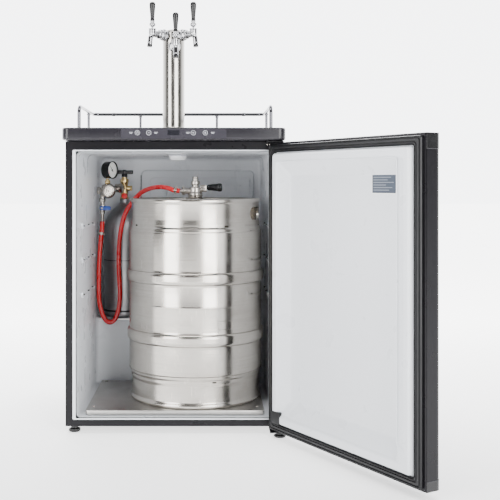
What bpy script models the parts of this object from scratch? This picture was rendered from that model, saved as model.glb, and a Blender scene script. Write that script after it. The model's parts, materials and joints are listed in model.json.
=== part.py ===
"""Three-tap kegerator: insulated cabinet with its door swung open, keg, gas bottle and draught tower.

Metres, +Z up, front towards -Y. Everything is drawn in cabinet coordinates (X = 0 at the middle of the
cabinet, Y = 0 at its front flange, Z = 0 on the floor) and hangs on one empty, which puts the row's origin
on the floor under the middle of the whole outline with the door open.
"""

import math

import bmesh
import bpy
from mathutils import Matrix, Vector

# ---------------------------------------------------------------- driving dimensions
GAP = 0.0003  # left between pieces that touch
CABINET_WIDTH = 0.606
CABINET_DEPTH = 0.610
GLAND_END = 0.6215  # furthest point at the back
BASE_Z = 0.021  # underside of the cabinet
SHELL_TOP = 0.8125
SHEET = 0.002
PAN_TOP = BASE_Z + SHEET  # inside of the steel wrapper's bottom
WALL_STRIP = 0.0194  # black border of the front, beside the white flange
OPENING_HALF = 0.2725
OPENING_FLOOR = 0.0455
OPENING_CEILING = 0.783
LINER_BACK = 0.574
HUMP_FRONT = 0.428
HUMP_TOP = 0.259
LINER_SHEET = 0.002
BAY_FRONT = 0.462  # compressor bay under the hump
BAY_TOP = 0.225
SHELF_LEDGES = (0.367, 0.468, 0.567)  # heights of the shelf ledges moulded in the side walls

WORKTOP_HALF = 0.304
WORKTOP_FRONT = -0.067
WORKTOP_BOTTOM = 0.813
WORKTOP_TOP = 0.847

PIN = Vector((0.2859, -0.0267, 0.0))  # door hinge pin
PIN_RADIUS = 0.004
DOOR_ANGLE = 120.35  # degrees open at rest
DOOR_INNER = -0.012
DOOR_OUTER = -0.055
DOOR_BOTTOM = 0.019
DOOR_TOP = 0.807
DOOR_EDGE_RADIUS = 0.012
DOOR_TOP_CAP = 0.035
DOOR_BOTTOM_CAP = 0.022
DIKE_SIDE = 0.033  # inset of the door liner's raised border
DIKE_TOP = 0.029
DIKE_BOTTOM = 0.028

PLATE_TOP = 0.060
KEG_CENTRE = Vector((0.0545, 0.218, PLATE_TOP + GAP))
KEG_RADIUS = 0.204
KEG_HEIGHT = 0.592
BOTTLE_CENTRE = Vector((-0.186, 0.5005, HUMP_TOP + GAP))
BOTTLE_RADIUS = 0.0665

TOWER = Vector((-0.008, 0.143, WORKTOP_TOP + GAP))
COLUMN_RADIUS = 0.03175
COLUMN_TOP = 1.128
DOME_TOP = 1.1485
# name, bearing of the tap (0 = straight out of the front, + = to the right), height of its shank
TAPS = (("left", -45.0, 1.1260), ("centre", 6.0, 1.0915), ("right", 45.0, 1.1260))
TAP_PIVOT = 0.083  # from the column's axis to the tap lever's pivot

RAIL_HALF = 0.270
RAIL_FRONT = 0.035
RAIL_BACK = 0.345
RAIL_Z = 0.9135
RAIL_RADIUS = 0.005

HOSE_RADIUS = 0.00715
# Route of the gas hose, from the shut-off valve's tail to the keg coupler's gas inlet.
HOSE_ROUTE = (
    (-0.2500, 0.4230, 0.5730),
    (-0.2510, 0.4225, 0.5500),
    (-0.2545, 0.4210, 0.5150),
    (-0.2580, 0.4190, 0.4700),
    (-0.2603, 0.4170, 0.4150),
    (-0.2606, 0.4150, 0.3570),
    (-0.2585, 0.4130, 0.3150),
    (-0.2500, 0.4110, 0.2790),
    (-0.2370, 0.4090, 0.2550),
    (-0.2225, 0.4080, 0.2480),
    (-0.2080, 0.4075, 0.2580),
    (-0.1960, 0.4070, 0.2890),
    (-0.1915, 0.4070, 0.3330),
    (-0.1930, 0.4070, 0.3820),
    (-0.1955, 0.4070, 0.4340),
    (-0.1940, 0.4065, 0.4950),
    (-0.1885, 0.4055, 0.5430),
    (-0.1800, 0.4030, 0.5820),
    (-0.1690, 0.3980, 0.6080),
    (-0.1520, 0.3860, 0.6340),
    (-0.1335, 0.3680, 0.6540),
    (-0.1150, 0.3460, 0.6690),
    (-0.0880, 0.3140, 0.6800),
    (-0.0550, 0.2740, 0.6850),
    (-0.0280, 0.2380, 0.6815),
    (-0.0110, 0.2210, 0.6755),
    (0.0068, 0.2180, 0.6735),
)

HALF = CABINET_WIDTH / 2
SHELL_HALF = HALF - SHEET - GAP  # half width left inside the steel wrapper
STRIP_HALF = HALF - WALL_STRIP  # inner edge of the black front strip


# ---------------------------------------------------------------- scene, collections, materials
for old in list(bpy.data.objects):
    bpy.data.objects.remove(old, do_unlink=True)

scene = bpy.context.scene
parts = bpy.data.collections.new("kegerator")
cutters = bpy.data.collections.new("kegerator_cutters")
scene.collection.children.link(parts)
scene.collection.children.link(cutters)


def material(name, colour, roughness, metallic=0.0):
    made = bpy.data.materials.new(name)
    made.use_nodes = True
    shader = made.node_tree.nodes["Principled BSDF"]
    shader.inputs["Base Color"].default_value = (*colour, 1.0)
    shader.inputs["Roughness"].default_value = roughness
    shader.inputs["Metallic"].default_value = metallic
    made.diffuse_color = (*colour, 1.0)
    return made


BLACK_PAINT = material("black_paint", (0.022, 0.021, 0.024), 0.35)
FASCIA = material("fascia_plastic", (0.075, 0.072, 0.085), 0.35)
KEY = material("key_plastic", (0.10, 0.10, 0.11), 0.4)
WHITE_LINER = material("white_liner", (0.80, 0.82, 0.84), 0.4)
FOAM = material("foam", (0.80, 0.72, 0.45), 0.9)
RUBBER = material("black_rubber", (0.02, 0.02, 0.022), 0.6)
STEEL_PLATE = material("plate_steel", (0.45, 0.44, 0.43), 0.4, 1.0)
KEG_STEEL = material("keg_steel", (0.62, 0.60, 0.57), 0.3, 1.0)
CHROME = material("chrome", (0.80, 0.80, 0.80), 0.08, 1.0)
TOWER_STEEL = material("tower_steel", (0.68, 0.67, 0.65), 0.2, 1.0)
NICKEL = material("nickel", (0.62, 0.60, 0.56), 0.2, 1.0)
BRASS = material("brass", (0.66, 0.50, 0.24), 0.25, 1.0)
ALUMINIUM = material("bottle_aluminium", (0.42, 0.42, 0.43), 0.4, 1.0)
BLACK_PLASTIC = material("black_plastic", (0.02, 0.02, 0.02), 0.3)
RED_PLASTIC = material("red_plastic", (0.65, 0.02, 0.02), 0.35)
BLUE_PLASTIC = material("blue_plastic", (0.03, 0.12, 0.55), 0.35)
RED_HOSE = material("red_hose", (0.62, 0.015, 0.02), 0.35)
LENS = material("lens", (0.9, 0.9, 0.9), 0.2)


# ---------------------------------------------------------------- the row's origin
def turned_about(point, centre, degrees):
    return centre + Matrix.Rotation(math.radians(degrees), 3, "Z") @ (point - centre)


door_tip_inner = turned_about(Vector((-HALF, DOOR_INNER, 0)), PIN, DOOR_ANGLE)
door_edge = turned_about(
    Vector((DOOR_EDGE_RADIUS - HALF, DOOR_OUTER + DOOR_EDGE_RADIUS, 0)), PIN, DOOR_ANGLE
)
FOOTPRINT_X = (door_edge.x + DOOR_EDGE_RADIUS - WORKTOP_HALF) / 2
FOOTPRINT_Y = (door_tip_inner.y + GLAND_END) / 2


def empty(name, location, parent=None):
    made = bpy.data.objects.new(name, None)
    made.empty_display_size = 0.03
    made.location = location
    made.parent = parent
    parts.objects.link(made)
    return made


FRAME = empty("row_frame", (-FOOTPRINT_X, -FOOTPRINT_Y, 0.0))


def pivot(name, location):
    """Empty on a joint's axis, in cabinet coordinates."""
    return empty(name, location, FRAME)


# ---------------------------------------------------------------- modelling helpers
def add(name, mesh, finish, on=FRAME, smooth=False):
    """Object from a mesh drawn in cabinet coordinates, hung on the frame or on a joint's empty."""
    made = bpy.data.objects.new(name, mesh)
    parts.objects.link(made)
    made.parent = on
    if on is not FRAME:
        made.location = -on.location
    if smooth:
        mesh.shade_smooth()
        mesh.set_sharp_from_angle(angle=math.radians(40))
    if finish:
        mesh.materials.append(finish)
    return made


def box_mesh(low, high):
    low, high = Vector(low), Vector(high)
    shape = bmesh.new()
    bmesh.ops.create_cube(shape, size=1.0)
    size = high - low
    bmesh.ops.scale(shape, vec=size, verts=shape.verts)
    bmesh.ops.translate(shape, vec=(low + high) / 2, verts=shape.verts)
    mesh = bpy.data.meshes.new("box")
    shape.to_mesh(mesh)
    shape.free()
    return mesh


def bevel(obj, width, segments=1, angle=40):
    modifier = obj.modifiers.new("bevel", "BEVEL")
    modifier.width = width
    modifier.segments = segments
    modifier.limit_method = "ANGLE"
    modifier.angle_limit = math.radians(angle)
    return modifier


def box(name, low, high, finish, on=FRAME, edge=0.0, segments=1):
    made = add(name, box_mesh(low, high), finish, on)
    if edge:
        bevel(made, edge, segments)
    return made


def axis_matrix(origin, direction):
    """Places a piece drawn along +Z at origin, pointing along direction."""
    turn = Vector(direction).normalized().to_track_quat("Z", "Y").to_matrix().to_4x4()
    return Matrix.Translation(origin) @ turn


def rod_mesh(start, end, radius, end_radius=None, sides=16):
    """Cylinder or cone between two points."""
    start, end = Vector(start), Vector(end)
    length = (end - start).length
    shape = bmesh.new()
    bmesh.ops.create_cone(
        shape,
        cap_ends=True,
        segments=sides,
        radius1=radius,
        radius2=radius if end_radius is None else end_radius,
        depth=length,
        matrix=axis_matrix(start, end - start) @ Matrix.Translation((0, 0, length / 2)),
    )
    mesh = bpy.data.meshes.new("rod")
    shape.to_mesh(mesh)
    shape.free()
    return mesh


def rod(name, start, end, radius, finish, on=FRAME, sides=16, end_radius=None):
    return add(name, rod_mesh(start, end, radius, end_radius, sides), finish, on, smooth=True)


def turned(name, profile, finish, at, direction=(0, 0, 1), steps=24, on=FRAME):
    """Turned piece: (radius, height) points run down the outer side, spun about direction through at."""
    mesh = bpy.data.meshes.new(name)
    points = [(radius, 0.0, height) for radius, height in profile]
    mesh.from_pydata(points, [(i, i + 1) for i in range(len(points) - 1)], [])
    made = add(name, mesh, finish, on)
    place = axis_matrix(Vector(at), direction)
    if on is not FRAME:
        place = Matrix.Translation(-on.location) @ place
    made.matrix_basis = place
    screw = made.modifiers.new("screw", "SCREW")
    screw.axis = "Z"
    screw.steps = screw.render_steps = steps
    screw.use_merge_vertices = True
    screw.merge_threshold = 0.00001
    screw.use_smooth_shade = True
    return made


def smooth_path(points, per_span):
    """Points of a smooth curve (Catmull-Rom) through the given ones."""
    route = [Vector(point) for point in points]
    route = [2 * route[0] - route[1], *route, 2 * route[-1] - route[-2]]
    path = []
    for a, b, c, d in zip(route, route[1:], route[2:], route[3:]):
        for step in range(per_span):
            t = step / per_span
            path.append(
                0.5
                * (
                    2 * b
                    + (c - a) * t
                    + (2 * a - 5 * b + 4 * c - d) * t**2
                    + (3 * b - a - 3 * c + d) * t**3
                )
            )
    path.append(route[-2])
    return path


def rounded_path(corners, radius, steps=4):
    """Polyline with each inner corner replaced by an arc of the given radius."""
    corners = [Vector(corner) for corner in corners]
    path = [corners[0]]
    for before, corner, after in zip(corners, corners[1:], corners[2:]):
        into = (before - corner).normalized()
        out = (after - corner).normalized()
        half = into.angle(out) / 2
        reach = radius / math.tan(half)
        centre = corner + (into + out).normalized() * radius / math.sin(half)
        start = (corner + into * reach - centre).normalized()
        end = (corner + out * reach - centre).normalized()
        for step in range(steps + 1):
            path.append(centre + radius * start.slerp(end, step / steps))
    path.append(corners[-1])
    return path


def tube(name, path, radius, finish, on=FRAME, roundness=2):
    curve = bpy.data.curves.new(name, "CURVE")
    curve.dimensions = "3D"
    curve.bevel_depth = radius
    curve.bevel_resolution = roundness
    curve.use_fill_caps = True
    spline = curve.splines.new("POLY")
    spline.points.add(len(path) - 1)
    for point, place in zip(spline.points, path):
        point.co = (*place, 1.0)
    made = bpy.data.objects.new(name, curve)
    parts.objects.link(made)
    made.parent = on
    if on is not FRAME:
        made.location = -on.location
    if finish:
        curve.materials.append(finish)
    return made


def tube_mesh(path, radius, roundness=2):
    """The same tube as a mesh, so that it can be joined to another piece."""
    guide = tube("tube_guide", path, radius, None, roundness=roundness)
    bpy.context.view_layer.update()
    evaluated = guide.evaluated_get(bpy.context.evaluated_depsgraph_get())
    mesh = bpy.data.meshes.new_from_object(evaluated)
    bpy.data.objects.remove(guide, do_unlink=True)
    shape = bmesh.new()
    shape.from_mesh(mesh)
    bmesh.ops.remove_doubles(shape, verts=shape.verts, dist=0.00001)
    bmesh.ops.recalc_face_normals(shape, faces=shape.faces)
    shape.to_mesh(mesh)
    shape.free()
    return mesh


def as_tool(obj):
    """Moves an object to the cutters, out of the model."""
    parts.objects.unlink(obj)
    cutters.objects.link(obj)
    obj.hide_render = True
    obj.display_type = "WIRE"
    return obj


def combine(obj, tool, operation):
    as_tool(tool)
    modifier = obj.modifiers.new(operation.lower(), "BOOLEAN")
    modifier.operation = operation
    modifier.solver = "EXACT"
    modifier.object = tool
    return obj


def cut(obj, tool):
    return combine(obj, tool, "DIFFERENCE")


def join(obj, tool):
    return combine(obj, tool, "UNION")


def cut_box(obj, low, high, on=FRAME):
    return cut(obj, box(obj.name + "_cut", low, high, None, on))


def cut_rod(obj, start, end, radius, on=FRAME, sides=16):
    return cut(obj, rod(obj.name + "_bore", start, end, radius, None, on, sides))


def join_rod(obj, start, end, radius, on=FRAME, sides=16, end_radius=None):
    return join(obj, rod(obj.name + "_add", start, end, radius, None, on, sides, end_radius))


def join_box(obj, low, high, on=FRAME):
    return join(obj, box(obj.name + "_add", low, high, None, on))


def prism_mesh(outline, low, high, axis):
    """Outline (a list of 2-D points) drawn out between low and high along an axis."""
    lay = {
        "X": lambda u, v, w: (w, u, v),
        "Y": lambda u, v, w: (u, w, v),
        "Z": lambda u, v, w: (u, v, w),
    }[axis]
    shape = bmesh.new()
    floor = shape.faces.new([shape.verts.new(lay(u, v, low)) for u, v in outline])
    drawn = bmesh.ops.extrude_face_region(shape, geom=[floor])["geom"]
    rise = Vector(lay(0, 0, high - low))
    bmesh.ops.translate(shape, vec=rise, verts=[v for v in drawn if isinstance(v, bmesh.types.BMVert)])
    bmesh.ops.recalc_face_normals(shape, faces=shape.faces)
    mesh = bpy.data.meshes.new("prism")
    shape.to_mesh(mesh)
    shape.free()
    return mesh


def prism(name, outline, low, high, axis, finish, on=FRAME):
    return add(name, prism_mesh(outline, low, high, axis), finish, on)


def rounded_rectangle(left, right, low, high, radii, steps=3):
    """Corner arcs, anticlockwise from the lower right; radii is one number or one for each corner."""
    if not isinstance(radii, tuple):
        radii = (radii,) * 4
    outline = []
    corners = ((right, low, -90), (right, high, 0), (left, high, 90), (left, low, 180))
    for (u, v, start), radius in zip(corners, radii):
        towards_u = -1 if u == right else 1
        towards_v = 1 if v == low else -1
        for step in range(steps + 1):
            angle = math.radians(start + 90 * step / steps)
            outline.append(
                (
                    u + towards_u * radius + radius * math.cos(angle),
                    v + towards_v * radius + radius * math.sin(angle),
                )
            )
    return outline


# ---------------------------------------------------------------- cabinet
def cabinet_side(out, sheet):
    """Side view of the liner's hollow, (Y, Z), grown by out into the wall; sheet moves the front edge."""
    floor, ceiling = OPENING_FLOOR - out, OPENING_CEILING + out
    return (
        (-sheet, ceiling),
        (LINER_BACK + out, ceiling),
        (LINER_BACK + out, HUMP_TOP - out),
        (HUMP_FRONT + out, HUMP_TOP - out),
        (HUMP_FRONT + out, floor),
        (-sheet, floor),
    )


def tower_bore(obj, radius, low, high):
    """Beer lines and cold air pass from the cabinet up into the tower."""
    return cut_rod(obj, (TOWER.x, TOWER.y, low), (TOWER.x, TOWER.y, high), radius)


def cabinet():
    shell = box("cabinet_shell", (-HALF, 0, BASE_Z), (HALF, CABINET_DEPTH, SHELL_TOP), BLACK_PAINT)
    cut_box(shell, (SHEET - HALF, SHEET, PAN_TOP), (HALF - SHEET, 1, SHELL_TOP - SHEET))
    cut_box(shell, (-STRIP_HALF, -0.01, 0.0392), (STRIP_HALF, 0.01, 0.7890))
    tower_bore(shell, 0.024, SHELL_TOP - 0.01, SHELL_TOP + 0.01)

    inside = SHEET + GAP
    back_low = BAY_TOP + 0.002
    back = box("back_panel", (-SHELL_HALF, 0.6075, back_low), (SHELL_HALF, 0.6090, 0.8100), BLACK_PAINT)
    x, z = 0.250, back_low + 0.030  # power cord's gland
    join_rod(back, (x, 0.6085, z), (x, GLAND_END, z), 0.0120, sides=12)
    cut_rod(back, (x, 0.6125, z), (x, GLAND_END + 0.01, z), 0.005, sides=10)

    liner = prism(
        "liner", cabinet_side(LINER_SHEET, 0), -OPENING_HALF - LINER_SHEET, OPENING_HALF + LINER_SHEET,
        "X", WHITE_LINER,
    )
    join_box(liner, (-STRIP_HALF + GAP, 0, 0.0395), (STRIP_HALF - GAP, LINER_SHEET, 0.7887))
    hollow = prism("liner_hollow", cabinet_side(0, 0.01), -OPENING_HALF, OPENING_HALF, "X", None)
    bevel(hollow, 0.010, 2)
    cut(liner, hollow)
    tower_bore(liner, 0.023, OPENING_CEILING - 0.01, OPENING_CEILING + 0.01)

    foam = box("insulation", (-SHELL_HALF, inside, PAN_TOP + GAP), (SHELL_HALF, 0.6070, 0.8100), FOAM)
    room = LINER_SHEET + GAP
    hollow = cabinet_side(room, 0.01)
    cut(foam, prism("foam_hollow", hollow, -OPENING_HALF - room, OPENING_HALF + room, "X", None))
    cut_box(foam, (-STRIP_HALF, -0.01, 0.0390), (STRIP_HALF, inside + 0.0002, 0.7890))
    cut_box(foam, (-1, BAY_FRONT, 0), (1, 1, BAY_TOP))
    tower_bore(foam, 0.023, OPENING_CEILING, SHELL_TOP)

    for side in (-1, 1):
        for height in SHELF_LEDGES:
            xs = sorted((side * (OPENING_HALF + 0.001), side * (OPENING_HALF - 0.005)))
            join_box(liner, (xs[0], 0.093, height - 0.004), (xs[1], 0.366, height + 0.004))

    cover = box(
        "evaporator_cover", (-0.1345, 0.5660, 0.2700), (0.2473, LINER_BACK - GAP, 0.7410), WHITE_LINER
    )
    bevel(cover, 0.005, 2)
    turned(
        "interior_lamp",
        ((0, 0), (0.027, 0), (0.027, -0.008), (0.022, -0.0155), (0, -0.018)),
        LENS, (0, 0.270, OPENING_CEILING - GAP), steps=16,
    )

    plate = box(
        "floor_plate", (-0.2511, 0.0217, 0.0475), (0.2511, HUMP_FRONT - 0.0105, PLATE_TOP), STEEL_PLATE
    )
    cut_box(plate, (-0.2496, 0.0232, 0), (0.2496, 1, PLATE_TOP - 0.0015))


def cabinet_feet():
    for name, x, y, top in (
        ("foot_front_left", -0.2816, 0.030, BASE_Z),
        ("foot_front_right", 0.2900, -0.030, 0.0150),
        ("foot_back_left", -0.2750, 0.575, BASE_Z),
        ("foot_back_right", 0.2750, 0.575, BASE_Z),
    ):
        pad = top * 0.45
        turned(
            name,
            ((0, top - GAP), (0.0105, top - GAP), (0.0105, pad + 0.002), (0.0160, pad), (0.0160, 0.002),
             (0.0140, 0), (0, 0)),
            BLACK_PLASTIC, (x, y, 0), steps=12,
        )


def worktop():
    outline = rounded_rectangle(
        -WORKTOP_HALF, WORKTOP_HALF, WORKTOP_FRONT, 0.612, (0.020, 0.008, 0.008, 0.020), 4
    )
    top = prism("worktop", outline, WORKTOP_BOTTOM, WORKTOP_TOP, "Z", BLACK_PAINT)
    bevel(top, 0.003, 1, angle=60)
    cut_box(top, (-0.1433, -0.1, 0.8162), (0.1433, WORKTOP_FRONT + 0.006, 0.8438))
    cut_rod(top, TOWER + Vector((0, 0, -0.1)), TOWER + Vector((0, 0, 0.1)), 0.023)

    front, back = WORKTOP_FRONT + 0.0005, WORKTOP_FRONT + 0.0057
    fascia = box("control_fascia", (-0.1430, front, 0.8165), (0.1430, back, 0.8435), FASCIA)
    for number, x in enumerate((-0.0978, -0.0672, 0.0533, 0.0858), 1):
        z = 0.8325
        cut_rod(fascia, (x, -0.1, z), (x, front + 0.0036, z), 0.0078)
        on = pivot(f"key_{number}_axis", (x, front, z))
        key = rod(f"key_{number}", (x, front - 0.0004, z), (x, front + 0.0022, z), 0.0072, KEY, on)
        bevel(key, 0.0004)


def guardrail():
    start = WORKTOP_TOP + GAP
    corners = (
        (-RAIL_HALF, RAIL_FRONT, start),
        (-RAIL_HALF, RAIL_FRONT, RAIL_Z),
        (-RAIL_HALF, RAIL_BACK, RAIL_Z),
        (RAIL_HALF, RAIL_BACK, RAIL_Z),
        (RAIL_HALF, RAIL_FRONT, RAIL_Z),
        (RAIL_HALF, RAIL_FRONT, start),
    )
    rail = add("guardrail", tube_mesh(rounded_path(corners, 0.022, 3), RAIL_RADIUS, 2), CHROME, smooth=True)
    for x, y in ((-RAIL_HALF, 0.240), (RAIL_HALF, 0.240), (-0.1205, RAIL_BACK), (0.1205, RAIL_BACK)):
        join_rod(rail, (x, y, start), (x, y, RAIL_Z), 0.0040, sides=10)
    for x, y in ((-RAIL_HALF, RAIL_FRONT), (RAIL_HALF, RAIL_FRONT)):
        join_rod(rail, (x, y, start), (x, y, start + 0.004), 0.0080, sides=12)


def compressor_bay():
    can = turned(
        "compressor",
        ((0, 0.165), (0.030, 0.163), (0.052, 0.150), (0.060, 0.128), (0.060, 0.085), (0.062, 0.080),
         (0.060, 0.075), (0.060, 0.030), (0.052, 0.014), (0, 0.012)),
        BLACK_PAINT, (-0.130, 0.535, PAN_TOP + GAP), steps=20,
    )
    join_box(can, (-0.200, 0.480, PAN_TOP + GAP), (-0.060, 0.590, PAN_TOP + 0.0025))
    join_box(can, (-0.160, 0.505, PAN_TOP + 0.0015), (-0.100, 0.565, PAN_TOP + 0.0220))

    rows, left, right, low, pitch = 5, 0.020, 0.230, 0.055, 0.030
    corners = []
    for row in range(rows):
        ends = (left, right) if row % 2 == 0 else (right, left)
        corners += [(x, 0.520, low + row * pitch) for x in ends]
    pipe = tube_mesh(rounded_path(corners, 0.0145, 3), 0.0035, 1)
    coil = add("condenser", pipe, BLACK_PAINT, smooth=True)
    for x in (0.050, 0.125, 0.200):
        join_box(coil, (x - 0.004, 0.5155, PAN_TOP + GAP), (x + 0.004, 0.5245, low + rows * pitch))


# ---------------------------------------------------------------- door
def door_section(inset, depth, radius, shrink=0.0):
    """One outline of the door's inner face: inset from the door's edges, at a depth along Y."""
    side = inset[0] + shrink
    points = rounded_rectangle(
        side - HALF, HALF - side, DOOR_BOTTOM + inset[1] + shrink, DOOR_TOP - inset[2] - shrink, radius
    )
    return [(x, depth, z) for x, z in points]


def loft(name, sections, finish, on, closed_back):
    """Skin over a row of outlines with the same number of points; the last one is closed with a face."""
    shape = bmesh.new()
    rings = [[shape.verts.new(point) for point in section] for section in sections]
    for ring, following in zip(rings, rings[1:]):
        for i in range(len(ring)):
            j = (i + 1) % len(ring)
            shape.faces.new((ring[j], ring[i], following[i], following[j]))
    shape.faces.new(list(reversed(rings[-1])))
    if closed_back:
        shape.faces.new(rings[0])
    mesh = bpy.data.meshes.new(name)
    shape.to_mesh(mesh)
    shape.free()
    return add(name, mesh, finish, on)


def door():
    hinge = pivot("door_hinge", PIN)
    dike = (DIKE_SIDE, DIKE_BOTTOM, DIKE_TOP)
    skin = 0.002
    flange = DOOR_INNER + GAP + skin
    crest = DOOR_INNER + 0.020
    floor = DOOR_INNER - 0.012

    def inset(sides, ends):
        return (dike[0] + sides, dike[1] + ends, dike[2] + ends)

    edge_inset = (0.008, 0.008, 0.008)
    sections = (
        door_section(edge_inset, flange, 0.006),
        door_section(dike, flange, 0.022),
        door_section(inset(0.003, 0.003), crest - 0.004, 0.021),
        door_section(inset(0.007, 0.007), crest, 0.020),
        door_section(inset(0.017, 0.017), crest, 0.018),
        door_section(inset(0.022, 0.023), crest - 0.004, 0.016),
        door_section(inset(0.037, 0.053), floor, 0.012),
    )
    liner = loft("door_liner", sections, WHITE_LINER, hinge, False)
    sheet = liner.modifiers.new("sheet", "SOLIDIFY")
    sheet.thickness = skin
    sheet.offset = -1.0

    # The foam fills the door behind the liner: the same outlines, drawn back from it by a little.
    back = skin + 0.0012
    foam_sections = (
        door_section((0.010, 0.0275, 0.0385), DOOR_OUTER + 0.0024, 0.006),
        door_section((0.003, 0.0275, 0.0385), DOOR_OUTER + 0.0095, 0.008),
        door_section((0.003, 0.0275, 0.0385), DOOR_INNER - 0.0005, 0.008),
        door_section(inset(back, 0.0125), DOOR_INNER - 0.0005, 0.014),
        door_section(inset(back + 0.004, 0.0140), crest - 0.0065, 0.014),
        door_section(inset(0.019 - back, 0.0170), crest - 0.0065, 0.013),
        door_section(inset(0.037 - back, 0.0485), floor - back, 0.012),
    )
    loft("door_foam", foam_sections, FOAM, hinge, True)

    # U-shaped steel skin: outer face and two returned edges, between the two end caps.
    arc = DOOR_EDGE_RADIUS
    plan = door_plan(arc)
    low, high = DOOR_BOTTOM + DOOR_BOTTOM_CAP + GAP, DOOR_TOP - DOOR_TOP_CAP - GAP
    shape = bmesh.new()
    lower = [shape.verts.new((x, y, low)) for x, y in plan]
    upper = [shape.verts.new((x, y, high)) for x, y in plan]
    for i in range(len(plan) - 1):
        shape.faces.new((lower[i], upper[i], upper[i + 1], lower[i + 1]))
    mesh = bpy.data.meshes.new("door_panel")
    shape.to_mesh(mesh)
    shape.free()
    panel = add("door_panel", mesh, BLACK_PAINT, hinge)
    sheet = panel.modifiers.new("sheet", "SOLIDIFY")
    sheet.thickness = 0.0016
    sheet.offset = -1.0
    sheet.use_even_offset = True

    half = HALF + 0.0005
    for name, low, high in (
        ("door_top_cap", DOOR_TOP - DOOR_TOP_CAP, DOOR_TOP),
        ("door_bottom_cap", DOOR_BOTTOM, DOOR_BOTTOM + DOOR_BOTTOM_CAP),
    ):
        outline = rounded_rectangle(
            -half, half, DOOR_OUTER - 0.0005, DOOR_INNER, (arc, 0.001, 0.001, arc), 4
        )
        cap = prism(name, outline, low, high, "Z", BLACK_PLASTIC, hinge)
        cut_rod(cap, (PIN.x, PIN.y, low - 0.01), (PIN.x, PIN.y, high + 0.01), PIN_RADIUS + 0.0004, hinge)

    seal_back, seal_front = flange + GAP, -0.001
    outer = rounded_rectangle(0.006 - HALF, PIN.x - 0.001, DOOR_BOTTOM + 0.006, DOOR_TOP - 0.006, 0.006)
    gasket = prism("door_gasket", outer, seal_back, seal_front, "Y", RUBBER, hinge)
    inner = rounded_rectangle(
        DIKE_SIDE - 0.0010 - HALF, HALF - DIKE_SIDE + 0.0010, DOOR_BOTTOM + DIKE_BOTTOM - 0.001,
        DOOR_TOP - DIKE_TOP + 0.001, 0.023,
    )
    cut(gasket, prism("gasket_cut", inner, seal_back - 0.01, seal_front + 0.01, "Y", None, hinge))
    hinge.rotation_euler.z = math.radians(DOOR_ANGLE)
    return hinge


def door_plan(arc):
    """Plan of the steel skin, from the hinge edge's inner corner round the outer face to the free edge."""
    plan = [(HALF, DOOR_INNER - 0.001)]
    for centre_x, start in ((HALF - arc, 0), (arc - HALF, -90)):
        for step in range(5):
            angle = math.radians(start - 90 * step / 4)
            plan.append((centre_x + arc * math.cos(angle), DOOR_OUTER + arc + arc * math.sin(angle)))
    plan.append((-HALF, DOOR_INNER - 0.001))
    return plan


def door_hinges():
    """The two brackets on the cabinet, each with its pin."""
    top = box(
        "hinge_top", (0.254, -0.045, DOOR_TOP + 0.0020), (0.300, -GAP, DOOR_TOP + 0.0045), BLACK_PAINT
    )
    join_box(top, (0.254, -0.0030, DOOR_TOP - 0.0030), (0.283, -GAP, DOOR_TOP + 0.0040))
    join_rod(top, (PIN.x, PIN.y, DOOR_TOP - 0.014), (PIN.x, PIN.y, DOOR_TOP + 0.003), PIN_RADIUS)
    low = 0.0150
    bottom = box("hinge_bottom", (0.262, -0.048, low), (0.302, 0.060, low + 0.0030), BLACK_PAINT)
    join_box(bottom, (0.262, 0.003, low + 0.001), (0.300, 0.060, BASE_Z - GAP))
    join_rod(bottom, (PIN.x, PIN.y, low + 0.001), (PIN.x, PIN.y, DOOR_BOTTOM + 0.014), PIN_RADIUS)


# ---------------------------------------------------------------- draught tower and taps
def tower():
    wall = 0.0015
    inner = COLUMN_RADIUS - wall
    turned(
        "tower_column",
        ((COLUMN_RADIUS, COLUMN_TOP), (COLUMN_RADIUS, WORKTOP_TOP + 0.0110), (0.0480, WORKTOP_TOP + 0.0060),
         (0.0510, WORKTOP_TOP + 0.0035), (0.0510, WORKTOP_TOP + GAP), (inner, WORKTOP_TOP + GAP),
         (inner, COLUMN_TOP), (COLUMN_RADIUS, COLUMN_TOP)),
        TOWER_STEEL, (TOWER.x, TOWER.y, 0), steps=24,
    )
    rim, dome_base = COLUMN_RADIUS + 0.0015, COLUMN_TOP + 0.006
    dome = [
        (rim * math.sin(math.radians(a)), dome_base + (DOME_TOP - dome_base) * math.cos(math.radians(a)))
        for a in (0, 25, 50, 72, 90)
    ]
    turned(
        "tower_cap",
        (*dome, (rim, COLUMN_TOP + GAP), (inner - GAP, COLUMN_TOP + GAP),
         (inner - GAP, COLUMN_TOP - 0.012), (0, COLUMN_TOP - 0.012)),
        TOWER_STEEL, (TOWER.x, TOWER.y, 0), steps=24,
    )
    for side, bearing, height in TAPS:
        tap(side, bearing, height)


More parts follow.
